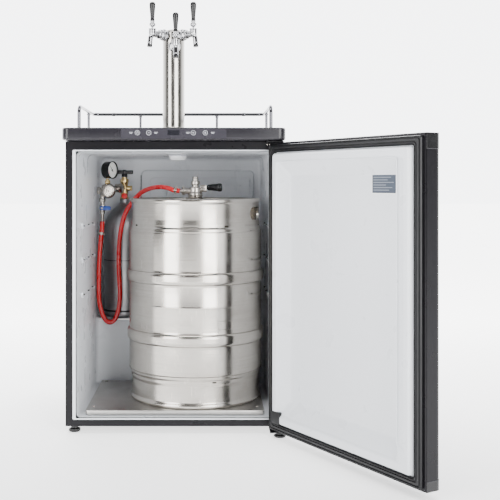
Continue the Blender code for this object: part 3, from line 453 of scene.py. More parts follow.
def loft(sections, closed=False, cap_last=False, sharp=35):
    """Skin over outlines with the same number of points; closed joins the last one to the first."""
    shape = bmesh.new()
    rings = [[shape.verts.new(point) for point in section] for section in sections]
    pairs = list(zip(rings, rings[1:]))
    if closed:
        pairs.append((rings[-1], rings[0]))
    for ring, following in pairs:
        for i in range(len(ring)):
            j = (i + 1) % len(ring)
            shape.faces.new((ring[i], ring[j], following[j], following[i]))
    if cap_last:
        shape.faces.new(list(reversed(rings[-1])))
    return finished(shape, sharp)


def slab(points, low, high, axis, edge=0.0, segments=3, sharp=35):
    """A 2-D outline drawn out between low and high along an axis, with rounded rims."""
    lay = {
        "X": lambda u, v, w: (w, u, v),
        "Y": lambda u, v, w: (u, w, v),
        "Z": lambda u, v, w: (u, v, w),
    }[axis]
    shape = bmesh.new()
    rings = [[shape.verts.new(lay(u, v, w)) for u, v in points] for w in (low, high)]
    for i in range(len(points)):
        j = (i + 1) % len(points)
        shape.faces.new((rings[0][i], rings[0][j], rings[1][j], rings[1][i]))
    caps = [shape.faces.new(ring) for ring in rings]
    bmesh.ops.recalc_face_normals(shape, faces=shape.faces)
    if edge:
        rim = list({rim_edge for cap in caps for rim_edge in cap.edges})
        bmesh.ops.bevel(shape, geom=rim, offset=edge, segments=segments, affect="EDGES", profile=0.5)
    return finished(shape, sharp)


def tube(path, radius, roundness):
    """Round curve along a polyline."""
    curve = bpy.data.curves.new("tube", "CURVE")
    curve.dimensions = "3D"
    curve.bevel_depth = radius
    curve.bevel_resolution = roundness
    curve.use_fill_caps = True
    spline = curve.splines.new("POLY")
    spline.points.add(len(path) - 1)
    spline.use_smooth = True
    for point, spot in zip(spline.points, path):
        point.co = (*spot, 1.0)
    return curve


def solid_tube(path, radius, roundness=6):
    """The same tube as a mesh."""
    guide = bpy.data.objects.new("guide", tube(path, radius, roundness))
    scene.collection.objects.link(guide)
    bpy.context.view_layer.update()
    mesh = bpy.data.meshes.new_from_object(guide.evaluated_get(bpy.context.evaluated_depsgraph_get()))
    bpy.data.objects.remove(guide, do_unlink=True)
    shape = bmesh.new()
    shape.from_mesh(mesh)
    bmesh.ops.remove_doubles(shape, verts=shape.verts, dist=1e-6)
    bpy.data.meshes.remove(mesh)
    return finished(shape)


def smooth_path(points, per_span):
    """Points of a smooth curve (Catmull-Rom) through the given ones."""
    route = [Vector(point) for point in points]
    route = [2 * route[0] - route[1], *route, 2 * route[-1] - route[-2]]
    path = []
    for a, b, c, d in zip(route, route[1:], route[2:], route[3:]):
        for step in range(per_span):
            t = step / per_span
            bend = (2 * a - 5 * b + 4 * c - d) * t**2 + (3 * b - a - 3 * c + d) * t**3
            path.append(0.5 * (2 * b + (c - a) * t + bend))
    path.append(route[-2])
    return path


def rounded_path(corners, radius, steps):
    """Polyline with each inner corner replaced by an arc."""
    corners = [Vector(corner) for corner in corners]
    path = [corners[0]]
    for before, corner, after in zip(corners, corners[1:], corners[2:]):
        into, out = (before - corner).normalized(), (after - corner).normalized()
        half = into.angle(out) / 2
        centre = corner + (into + out).normalized() * radius / math.sin(half)
        reach = radius / math.tan(half)
        start = (corner + into * reach - centre).normalized()
        end = (corner + out * reach - centre).normalized()
        path += [centre + radius * start.slerp(end, step / steps) for step in range(steps + 1)]
    path.append(corners[-1])
    return path


def carved(mesh, tools, sharp=35):
    """Cuts the tool meshes out of a mesh."""
    body = bpy.data.objects.new("body", mesh)
    scene.collection.objects.link(body)
    cutters = []
    for tool in tools:
        cutter = bpy.data.objects.new("cutter", tool)
        scene.collection.objects.link(cutter)
        cutters.append(cutter)
        modifier = body.modifiers.new("cut", "BOOLEAN")
        modifier.operation = "DIFFERENCE"
        modifier.solver = "EXACT"
        modifier.object = cutter
    bpy.context.view_layer.update()
    result = bpy.data.meshes.new_from_object(body.evaluated_get(bpy.context.evaluated_depsgraph_get()))
    for old in (body, *cutters):
        bpy.data.objects.remove(old, do_unlink=True)
    result.shade_smooth()
    result.set_sharp_from_angle(angle=math.radians(sharp))
    return result


def screw_head(place, direction, radius, height):
    """Cross-recessed pan head."""
    dome = ((0, height), (radius * 0.55, height * 0.92), (radius * 0.9, height * 0.55), (radius, 0), (0, 0))
    head = lathe(dome, 24, radius * 0.12, 2)
    slots = [
        block((-radius * 0.55, -radius * 0.11, height * 0.45), (radius * 0.55, radius * 0.11, height * 2)),
        block((-radius * 0.11, -radius * 0.55, height * 0.45), (radius * 0.11, radius * 0.55, height * 2)),
    ]
    return moved(carved(head, slots), aimed(place, direction))


# ---------------------------------------------------------------- gas hose and its clamps
HOSE_RADIUS = 0.00715
HOSE_ROUTE = (
    (-0.2500, 0.4230, 0.5730), (-0.2510, 0.4225, 0.5500), (-0.2545, 0.4210, 0.5150),
    (-0.2580, 0.4190, 0.4700), (-0.2603, 0.4170, 0.4150), (-0.2606, 0.4150, 0.3570),
    (-0.2585, 0.4130, 0.3150), (-0.2500, 0.4110, 0.2790), (-0.2370, 0.4090, 0.2550),
    (-0.2225, 0.4080, 0.2480), (-0.2080, 0.4075, 0.2580), (-0.1960, 0.4070, 0.2890),
    (-0.1915, 0.4070, 0.3330), (-0.1930, 0.4070, 0.3820), (-0.1955, 0.4070, 0.4340),
    (-0.1940, 0.4065, 0.4950), (-0.1885, 0.4055, 0.5430), (-0.1800, 0.4030, 0.5820),
    (-0.1690, 0.3980, 0.6080), (-0.1520, 0.3860, 0.6340), (-0.1335, 0.3680, 0.6540),
    (-0.1150, 0.3460, 0.6690), (-0.0880, 0.3140, 0.6800), (-0.0550, 0.2740, 0.6850),
    (-0.0280, 0.2380, 0.6815), (-0.0110, 0.2210, 0.6755), (0.0068, 0.2180, 0.6735),
)


def gas_hose():
    path = smooth_path(HOSE_ROUTE, 6)
    hose = piece("red_gas_hose", tube(path, HOSE_RADIUS, 8), "red_hose", stands_for=("gas_hose",))
    for name, node, index in (
        ("clamp_by_regulator", "hose_clamp_bottle", 9),
        ("clamp_by_coupler", "hose_clamp_coupler", len(path) - 5),
    ):
        along = (path[index + 1] - path[index - 1]).normalized()
        side = along.cross(Vector((0, 1, 0.2))).normalized()
        front = side.cross(along)
        place = Matrix.Translation(path[index]) @ Matrix((side, front, along)).transposed().to_4x4()
        worm = moved(rod((-0.0075, 0.0112, 0), (0.0075, 0.0112, 0), 0.003, 24), place)
        head = moved(rod((0.0075, 0.0112, 0), (0.0105, 0.0112, 0), 0.004, 6, 0.0004), place)
        box = moved(block((-0.0055, 0.008, -0.005), (0.0055, 0.0125, 0.005), 0.0008), place)
        ring = moved(lathe(hoop(0.0092, 0.0076, 0.0042, -0.0042), 48), place)
        slots = []
        for step in range(-5, 6):
            turn = Matrix.Rotation(math.radians(180 + step * 15), 4, "Z")
            slots.append(moved(block((-0.0004, 0.009, -0.0026), (0.0004, 0.0096, 0.0026)), place @ turn))
        piece(name, merged([ring, box, worm, head, *slots]), "nickel", stands_for=(node,))


# ---------------------------------------------------------------- cabinet
SHELF_LEDGES = (0.367, 0.468, 0.567)
LINER_HALF = 0.2725  # the inside's half width
CEILING = 0.783
TOWER_WAY, TOWER_WAY_RADIUS = (-0.008, 0.143), 0.023  # the hole under the tower
FASCIA_HALF = 0.1433
BACK_FACE = 0.609


def soften(node, width):
    """Rounds the edges of a CAD node that is shown as it is."""
    shown = frame["nodes"][node]
    weld = shown.modifiers.new("weld", "WELD")
    weld.merge_threshold = 0.00001
    edge = shown.modifiers.new("edge", "BEVEL")
    edge.width = width
    edge.segments = 2
    edge.limit_method = "ANGLE"
    edge.angle_limit = math.radians(50)


def cad_nodes():
    """CAD nodes whose shape is right: they keep it, and take a finish."""
    wanted = {
        "cabinet_shell": ("black_paint", 0.001), "back_panel": ("black_paint", 0.0004),
        "insulation": ("plate_steel", 0), "door_foam": ("foam", 0), "compressor": ("black_paint", 0.001),
        "condenser": ("black_paint", 0), "hinge_top": ("black_paint", 0.0005),
        "hinge_bottom": ("black_paint", 0.0005), "keg_spear": ("keg_steel", 0),
        "control_fascia": ("control_strip", 0.0004), "door_panel": ("black_paint", 0),
        "door_top_cap": ("black_plastic", 0.0016), "door_bottom_cap": ("black_plastic", 0.0016),
    }
    for node, (finish, width) in wanted.items():
        shown = frame["nodes"][node]
        for slot in shown.material_slots:
            slot.link = "DATA"
        shown.data.materials.clear()
        shown.data.materials.append(FINISH[finish][0])
        if width:
            soften(node, width)


def liner():
    """Rounded inner box with a step over the compressor, a front flange, shelf ledges and clips."""
    low, high = node_box("liner")
    sheet, corner = 0.002, 0.013
    half = LINER_HALF
    floor, back = 0.0455, 0.574
    hump_front, hump_top = 0.428, 0.259
    mouth, cut_depth = 0.3, -0.05  # the bevelled hollow's front end, before and after it is drawn forward

    def side(out, front):
        top, bottom = CEILING + out, floor - out
        step_y, step_z = hump_front + out, hump_top - out
        return ((front, top), (back + out, top), (back + out, step_z), (step_y, step_z),
                (step_y, bottom), (front, bottom))

    outer = slab(side(sheet, 0.0), -half - sheet, half + sheet, "X")
    hollow = slab(side(0.0, mouth), -half, half, "X")
    shape = bmesh.new()
    shape.from_mesh(hollow)
    for vertex in shape.verts:
        if abs(vertex.co.y - mouth) < 1e-6:
            vertex.co.y = cut_depth
    bmesh.ops.bevel(shape, geom=[edge for edge in shape.edges if edge.is_manifold], offset=corner, segments=6,
                    affect="EDGES", profile=0.5, clamp_overlap=True)
    bpy.data.meshes.remove(hollow)
    hollow = finished(shape)
    way = rod((*TOWER_WAY, CEILING - 0.01), (*TOWER_WAY, 0.8), TOWER_WAY_RADIUS, 48)
    shell = carved(outer, [hollow, way])
    flange = slab(outline(low.x, high.x, low.z, high.z, 0.004), 0.0, sheet, "Y", 0.0004, 2)
    window = slab(outline(-half, half, floor, CEILING, corner), -0.01, 0.01, "Y")
    flange = carved(flange, [window])
    piece("liner_moulding", merged([shell, flange], 30), "white_liner", stands_for=("liner",))

    ledges, clips = [], []
    for sign in (-1, 1):
        wall = sign * half
        for height in SHELF_LEDGES:
            raised = height + 0.01
            run = [(wall, 0.366, height), (wall, 0.118, height), (wall, 0.098, height + 0.012)]
            ledges.append(solid_tube(rounded_path(run, 0.012, 6), 0.0046, 6))
            for y, z in ((0.1, raised), (0.36, height)):
                ledges.append(rod((wall, y, z), (wall - sign * 0.0052, y, z), 0.005, 32))
    piece("shelf_ledges", merged(ledges), "white_liner")
    for height in SHELF_LEDGES:
        low_z, high_z = height + 0.003, height + 0.006
        for y in (0.132, 0.235, 0.33):
            for near, far in ((-half, -half + 0.0055), (half - 0.0055, half)):
                clips.append(block((near, y - 0.006, low_z), (far, y + 0.006, high_z), 0.001))
    piece("shelf_clips", merged(clips), "black_rubber")


def evaporator():
    """Cover over the evaporator with its bead, studs, seal, dark slabs of painted shade for slots, sensor,
    and the ceiling lamp.
    """
    low, high = node_box("evaporator_cover")
    back, front = high.y, low.y
    cover = slab(outline(low.x, high.x, low.z, high.z, 0.016), front + 0.0002, back, "Y", 0.004, 4)
    inner = outline(low.x + 0.03, high.x - 0.012, low.z + 0.02, high.z - 0.026, 0.012)
    line = rod_ring([(u, front + 0.0002, v) for u, v in inner], 0.0013)
    piece("back_wall_panel", merged([cover, line]), "white_liner", stands_for=("evaporator_cover",))
    studs = [
        rod((high.x - x, front + 0.0006, high.z - z), (high.x - x, front + 0.0002, high.z - z), 0.0045, 24)
        for x, z in ((0.046, 0.052), (0.012, 0.036), (0.012, 0.052))
    ]
    piece("panel_studs", merged(studs), "print")
    seal_low = (low.x - 0.0022, front + 0.003, low.z + 0.016)
    seal = block(seal_low, (low.x - 0.0002, back, high.z - 0.016), 0.0008)
    piece("panel_seal", seal, "black_rubber")
    # The air slots are flat dark slabs on the cover: painted shade where the slot openings would be
    slot_shades = []
    for row in range(9):
        z = high.z - 0.2 - row * 0.011
        slot = outline(-0.02, 0.13, z - 0.0022, z + 0.0022, 0.0021)
        slot_shades.append(slab(slot, front - 0.0003, front + 0.001, "Y"))
    piece("air_slot_shade", merged(slot_shades), "ink")
    thermostat = slab(outline(low.x + 0.03, low.x + 0.085, high.z - 0.095, high.z - 0.045, 0.006),
                      front - 0.008, front + 0.001, "Y", 0.002)
    piece("sensor_cover", thermostat, "white_liner")
    lens = lathe(((0, 0), (0.027, 0), (0.0268, -0.008), (0.022, -0.0155), (0, -0.018)), 64, 0.003, 4)
    ring = lathe(((0.0305, 0), (0.0305, -0.003), (0.0268, -0.0038), (0.0266, 0)), 64, 0.0008, 2)
    spot = Vector((0, 0.27, CEILING - 0.0003))
    piece("lamp_lens", shifted(lens, spot), "lens", stands_for=("interior_lamp",))
    piece("lamp_ring", shifted(ring, spot), "print")


def rod_ring(points, radius, count=8):
    """Closed round bead along a loop of points."""
    loop = [Vector(point) for point in points]
    sections = []
    for before, here, after in zip([loop[-1], *loop], loop, [*loop[1:], loop[0]]):
        along = (after - before).normalized()
        across = along.cross(Vector((0, 1, 0))).normalized()
        up = across.cross(along)
        turns = [math.tau * step / count for step in range(count)]
        sections.append([here + radius * (across * math.cos(a) + up * math.sin(a)) for a in turns])
    return loft(sections, closed=True, sharp=60)


def floor_plate():
    low, high = node_box("floor_plate")
    sheet = 0.0015
    rim = outline(low.x, high.x, low.y, high.y, (0.006, 0.001, 0.001, 0.006))
    plate = slab(rim, high.z - sheet, high.z, "Z", 0.0006, 2)
    lips = [
        block((low.x + 0.004, low.y, low.z), (high.x - 0.004, low.y + sheet, high.z - 0.0004), 0.0006, 2),
        block((low.x, low.y + 0.006, low.z), (low.x + sheet, high.y, high.z - 0.0004), 0.0006, 2),
        block((high.x - sheet, low.y + 0.006, low.z), (high.x, high.y, high.z - 0.0004), 0.0006, 2),
    ]
    piece("stainless_plate", merged([plate, *lips]), "plate_steel", stands_for=("floor_plate",))
    screws = [
        screw_head((x, y, high.z), (0, 0, 1), 0.0048, 0.0018)
        for x in (low.x + 0.018, high.x - 0.018) for y in (low.y + 0.045, high.y - 0.02)
    ]
    piece("plate_screws", merged(screws), "nickel")


def feet():
    for node in ("foot_front_left", "foot_front_right", "foot_back_left", "foot_back_right"):
        low, high = node_box(node)
        middle, top = (low + high) / 2, high.z
        pad = top * 0.45
        profile = ((0, top), (0.0105, top), (0.0105, pad + 0.002), (0.016, pad), (0.016, 0.002), (0.014, 0),
                   (0, 0))
        foot = shifted(lathe(profile, 48, 0.0008), (middle.x, middle.y, 0))
        ribs = []
        for step in range(24):
            a = math.tau * step / 24
            x, y = middle.x + 0.0157 * math.cos(a), middle.y + 0.0157 * math.sin(a)
            ribs.append(rod((x, y, 0.0022), (x, y, pad - 0.0006), 0.0009, 8, 0.0002))
        name = node.replace("foot", "levelling_foot")
        piece(name, merged([foot, *ribs]), "black_plastic", stands_for=(node,))


def worktop():
    low, high = node_box("worktop")
    corners = (0.02, 0.008, 0.008, 0.02)
    top = slab(outline(low.x, high.x, low.y, high.y, corners, 12), low.z, high.z, "Z", 0.0045, 4)
    recess = block((-FASCIA_HALF, low.y - 0.02, 0.8162), (FASCIA_HALF, low.y + 0.006, 0.8438))
    bore = rod((*TOWER_WAY, 0.7), (*TOWER_WAY, 0.9), TOWER_WAY_RADIUS, 48, 0)
    piece("worktop_moulding", carved(top, [recess, bore]), "worktop_black", stands_for=("worktop",))
    seam = outline(low.x - 0.0002, high.x + 0.0002, low.y - 0.0002, high.y + 0.0002, 0.0202, 12)
    bead = slab(seam, low.z + 0.0048, low.z + 0.0062, "Z", 0.0003, 1)
    core = slab(outline(low.x + 0.004, high.x - 0.004, low.y + 0.004, high.y - 0.004, 0.016), 0.7, 0.9, "Z")
    gap = block((-FASCIA_HALF, low.y - 0.02, 0.8), (FASCIA_HALF, low.y + 0.01, 0.85))
    piece("worktop_trim_line", carved(bead, [core, gap]), "control_strip")

    face = node_box("control_fascia")[0].y
    for number in range(1, 5):
        key_low, key_high = node_box(f"key_{number}")
        spot = Vector(((key_low.x + key_high.x) / 2, face - 0.0004, (key_low.z + key_high.z) / 2))
        key = rod(spot + Vector((0, 0.0026, 0)), spot, 0.0072, 48, 0.0005)
        piece(f"touch_key_{number}", key, "control_key", f"key_{number}", (f"key_{number}",))
        ring = moved(lathe(hoop(0.0066, 0.0058, 0.0002, -0.0001), 48), aimed(spot, (0, -1, 0)))
        marks = [ring] + [shifted(mark, spot) for mark in key_symbol(number)]
        piece(f"key_symbol_{number}", merged(marks), "print", f"key_{number}")
    panel = slab(outline(-0.0165, 0.016, 0.8255, 0.8395, 0.0015), face - 0.0003, face + 0.001, "Y", 0.0002, 1)
    piece("display_window", panel, "display")
    dashes = []
    for x in (-0.1155, -0.048, 0.0385, 0.106):
        for row, width in ((0.0012, 0.005), (-0.0016, 0.0034)):
            dashes.append(block((x - width, face - 0.0002, 0.8325 + row - 0.0005),
                                (x + width, face + 0.0004, 0.8325 + row + 0.0005), 0))
    piece("fascia_dashes", merged(dashes), "print")


def key_symbol(number):
    """Generic marks: power, minus, plus and lamp."""
    thin, near, far = 0.00045, -0.0002, 0.0004

    def bar(u0, v0, u1, v1):
        return block((u0, near, v0), (u1, far, v1), 0)

    minus = bar(-0.0028, -thin, 0.0028, thin)
    if number == 1:
        arc = hoop(0.0034, 0.0027, 0.0002, -0.0001)
        ring = moved(lathe(arc, 32), aimed((0, 0, -0.0004), (0, -1, 0)))
        return [ring, bar(-thin, 0.0006, thin, 0.004)]
    if number == 2:
        return [minus]
    if number == 3:
        return [minus, bar(-thin, -0.0028, thin, 0.0028)]
    return [bar(-0.0024, v - thin, 0.0024, v + thin) for v in (-0.002, 0.0, 0.002)]


def guardrail():
    half, front, back, rail_z = 0.27, 0.035, 0.345, 0.9135
    start = node_box("guardrail")[0].z
    corners = ((-half, front, start), (-half, front, rail_z), (-half, back, rail_z), (half, back, rail_z),
               (half, front, rail_z), (half, front, start))
    rail = rounded_path(corners, 0.022, 10)
    posts = [(-half, 0.24), (half, 0.24), (-0.1205, back), (0.1205, back)]
    parts = [solid_tube(rail, 0.005, 8)]
    flare = ((0, 0.007), (0.0052, 0.0068), (0.006, 0.003), (0.0092, 0.0018), (0.0094, 0), (0, 0))
    saddle = ((0, 0.004), (0.0055, 0.0035), (0.006, 0.0005), (0.0058, 0), (0, 0))
    for x, y in posts:
        parts.append(rod((x, y, start), (x, y, rail_z), 0.004, 32, 0.0002))
        parts.append(shifted(lathe(saddle, 32), (x, y, rail_z - 0.0095)))
    for x, y in [*posts, (-half, front), (half, front)]:
        parts.append(shifted(lathe(flare, 40, 0.0008), (x, y, start)))
    for x in (-0.205, 0.205):
        parts.append(rod((x - 0.004, back, rail_z), (x + 0.004, back, rail_z), 0.0057, 32, 0.0004))
    piece("chrome_rail", merged(parts), "shaded_rail_chrome", stands_for=("guardrail",))


def fixings():
    """Screws of the upper hinge and the back panel, painted shade for the back's slots, and the compressor's
    pipes.
    """
    screws = [screw_head((x, -0.003, 0.804), (0, -1, 0), 0.003, 0.0012) for x in (0.2585, 0.266)]
    rows = [(x, z) for x in (-0.285, -0.14, 0.0, 0.14, 0.285) for z in (0.24, 0.795)]
    sides = [(x, z) for z in (0.42, 0.61) for x in (-0.285, 0.285)]
    for x, z in (*rows, *sides):
        screws.append(screw_head((x, BACK_FACE, z), (0, 1, 0), 0.0045, 0.0018))
    piece("cabinet_screws", merged(screws), "nickel")
    # The back's slots are flat dark slabs on the panel: painted shade where the slot openings would be
    slots = []
    for row in range(8):
        z = 0.3 + row * 0.012
        slots.append(slab(outline(-0.11, 0.11, z - 0.0026, z + 0.0026, 0.0025), 0.6086, 0.6094, "Y"))
    piece("back_vent_shade", merged(slots), "ink")
    suction = smooth_path(((-0.1, 0.56, 0.15), (-0.085, 0.575, 0.185), (-0.04, 0.585, 0.205),
                           (0.01, 0.575, 0.205), (0.022, 0.55, 0.19), (0.022, 0.53, 0.172)), 6)
    process = smooth_path(((-0.165, 0.56, 0.12), (-0.178, 0.58, 0.14), (-0.19, 0.585, 0.1),
                           (-0.198, 0.575, 0.06)), 6)
    piece("refrigerant_pipes", merged([solid_tube(suction, 0.0032), solid_tube(process, 0.0028)]), "copper")


# ---------------------------------------------------------------- door
DOOR_BOTTOM, DOOR_TOP = 0.019, 0.807
DOOR_INNER = -0.012
DIKE = (0.033, 0.028, 0.029)  # inset of the liner's raised border: sides, bottom, top


def door_ring(side, bottom, top, depth, radius, free=0.0):
    """One outline on the door's inner face; free widens the inset along the edge that swings."""
    points = outline(side + free - HALF, HALF - side, DOOR_BOTTOM + bottom, DOOR_TOP - top, radius, 10)
    return [(x, depth, z) for x, z in points]


def on_dike(sides, ends, depth, radius):
    """An outline on the raised border, whose inner slope is wider along the edge that swings."""
    free = 0.019 * min(max((sides - 0.022) / 0.004, 0.0), 1.0)
    return door_ring(DIKE[0] + sides, DIKE[1] + ends, DIKE[2] + ends, depth, radius, free=free)


def on_door(name, data, finish, stands_for=()):
    piece(name, data, finish, "door", stands_for, DOOR)


def door():
    """Inner moulding, seal, trim, seam and notch of the door, its label, cap screws and cap seams."""
    skin = 0.002
    flange = DOOR_INNER + 0.0003 + skin
    crest, floor = DOOR_INNER + 0.02, DOOR_INNER - 0.012
    profile = eased(
        ((0.0, flange), (0.002, crest - 0.004), (0.006, crest), (0.022, crest), (0.027, crest - 0.006),
         (0.046, floor), (0.07, floor)),
        0.004, 4,
    )
    sections = [door_ring(0.008, 0.008, 0.008, flange, 0.006)]
    for reach, depth in profile:
        ends = reach + 0.016 * min(max((reach - 0.027) / 0.019, 0.0), 1.0)
        sections.append(on_dike(reach, ends, depth, 0.008 + reach * 0.1))
    sheet = loft(sections, cap_last=True, sharp=50)
    shape = bmesh.new()
    shape.from_mesh(sheet)
    bmesh.ops.recalc_face_normals(shape, faces=shape.faces)
    if sum(face.normal.y * face.calc_area() for face in shape.faces) < 0:
        bmesh.ops.reverse_faces(shape, faces=shape.faces)
    bmesh.ops.solidify(shape, geom=shape.faces[:], thickness=0.0018)
    bpy.data.meshes.remove(sheet)
    on_door("door_inner_moulding", finished(shape, 50), "white_liner", ("door_liner",))

    seal_back, seal_front = flange + 0.0003, -0.001
    ridges = ((0.0075, seal_back), (0.0062, seal_front - 0.003), (0.0075, seal_front - 0.0004),
              (0.0095, seal_front), (0.0112, seal_front - 0.003), (0.0125, seal_front - 0.003),
              (0.014, seal_front - 0.0002), (0.02, seal_front - 0.0002), (0.0212, seal_front - 0.0032),
              (0.0226, seal_front - 0.0032), (0.024, seal_front - 0.0006), (0.0262, seal_front - 0.0006),
              (0.0272, seal_front - 0.0036), (0.0285, seal_front - 0.0036), (0.0296, seal_front - 0.0012),
              (0.0308, seal_front - 0.003), (0.031, seal_back))
    rings = []
    for reach, depth in ridges:
        share = (reach - 0.006) / (0.031 - 0.006)
        bottom = reach - share * (DIKE[0] - DIKE[1])
        top = reach - share * (DIKE[0] - DIKE[2])
        rings.append(door_ring(reach, bottom, top, depth, 0.006 + share * 0.002))
    on_door("door_seal", loft(rings, closed=True, sharp=25), "black_rubber", ("door_gasket",))

    flat, raised = DOOR_INNER - 0.0003, flange + 0.0008
    rim = [
        door_ring(reach, reach, reach, depth, max(0.0015, 0.006 - reach / 2))
        for reach, depth in ((0.0006, flat), (0.0006, flange - 0.0002), (0.0016, raised), (0.0092, raised),
                             (0.0092, flat))
    ]
    on_door("door_flange_trim", loft(rim, closed=True, sharp=30), "black_paint")
    free, hinged = DIKE[0] + 0.041 - HALF, HALF - DIKE[0] - 0.02
    top, bottom = DOOR_TOP - DIKE[2] - 0.0235, DOOR_BOTTOM + DIKE[1] + 0.062
    seam = rounded_path(((hinged, crest, top), (free, crest, top), (free, crest, bottom),
                         (free - 0.026, crest, bottom - 0.008)), 0.008, 8)
    on_door("moulded_seam", solid_tube(seam, 0.0011, 8), "white_liner")
    corner, step = HALF - DIKE[0], DOOR_BOTTOM + DIKE[1]
    cut = outline(corner - 0.04, corner - 0.0003, step + 0.0003, step + 0.034, 0.0076)
    notch = slab(cut, flange, crest + 0.0006, "Y", 0.001, 2)
    on_door("hinge_side_notch", notch, "black_rubber")
    label()
    screws = []
    for x in (-0.27, -0.09, 0.12):
        for z, up in ((DOOR_TOP, 1), (DOOR_BOTTOM, -1)):
            screws.append(screw_head((x, -0.0335, z), (0, 0, up), 0.0042, 0.0012))
    on_door("door_cap_screws", merged(screws), "nickel")
    trims = []
    for z in (DOOR_BOTTOM + 0.0225, DOOR_TOP - 0.0355):
        line = outline(-HALF - 0.0006, HALF + 0.0006, -0.0556, -0.012, (0.012, 0.001, 0.001, 0.012), 6)
        trims.append(slab(line, z - 0.0004, z + 0.0004, "Z"))
    on_door("door_cap_seams", merged(trims), "ink")


def label():
    """A plain rating plate on the door's inner wall, with bars in place of print."""
    left, right, low, high = -0.194, -0.108, 0.6705, 0.718
    face = DOOR_INNER - 0.012
    border = slab(outline(left, right, low, high, 0.002), face - 0.0002, face + 0.0004, "Y")
    inside = outline(left + 0.002, right - 0.002, low + 0.002, high - 0.002, 0.0012)
    ground = slab(inside, face, face + 0.0007, "Y")
    on_door("label_border", border, "dial")
    on_door("label_ground", ground, "label_ground")
    bars = []
    widths = (0.062, 0.05, 0.071, 0.044, 0.066, 0.055)
    for row, width in enumerate(widths):
        z = high - 0.0085 - row * 0.006
        end = right - 0.006
        bars.append(block((end - width, face + 0.0005, z - 0.0008), (end, face + 0.001, z + 0.0008)))
    on_door("label_bars", merged(bars), "label_print")


# ---------------------------------------------------------------- draught tower and taps
COLUMN_RADIUS = 0.03175
CAP_TOP = 1.1485
# side, bearing in degrees, height
TAPS = (("left", -45.0, 1.126), ("centre", 6.0, 1.0915), ("right", 45.0, 1.126))
TAP_REACH = 0.083  # from the column's axis to the lever's pivot


def tower():
    low, high = node_box("tower_column")
    axis = Vector(((low.x + high.x) / 2, (low.y + high.y) / 2, 0))
    foot, top = low.z, high.z
    inner = COLUMN_RADIUS - 0.0015
    column = lathe(
        ((COLUMN_RADIUS, top), (COLUMN_RADIUS, foot + 0.0117), (0.034, foot + 0.0092), (0.048, foot + 0.0057),
         (0.051, foot + 0.0032), (0.051, foot), (inner, foot), (inner, top), (COLUMN_RADIUS, top)),
        96, 0.0012, 3,
    )
    piece("steel_column", shifted(column, axis), "tower_steel", stands_for=("tower_column",))
    rim = COLUMN_RADIUS + 0.0015
    rise = CAP_TOP - top - 0.006
    angles = [math.radians(degrees) for degrees in range(0, 91, 6)]
    dome = [(rim * math.sin(a), top + 0.006 + rise * math.cos(a)) for a in angles]
    cap = lathe((*dome, (rim, top + 0.0003), (inner - 0.0003, top + 0.0003), (inner - 0.0003, top - 0.012),
                 (0, top - 0.012)), 96)
    piece("domed_cap", shifted(cap, axis), "tower_steel", stands_for=("tower_cap",))
    bolts = []
    for turn in (45, 135, 225, 315):
        angle = math.radians(turn)
        spot = axis + Vector((0.0425 * math.cos(angle), 0.0425 * math.sin(angle), foot + 0.0062))
        dome = ((0, 0.005), (0.0022, 0.0047), (0.004, 0.0034), (0.0048, 0.0014), (0.0052, 0), (0, 0))
        bolts.append(shifted(lathe(dome, 32, 0.0003), spot))
    piece("tower_bolts", merged(bolts), "chrome")
    for side, bearing, height in TAPS:
        tap(side, bearing, height, axis)


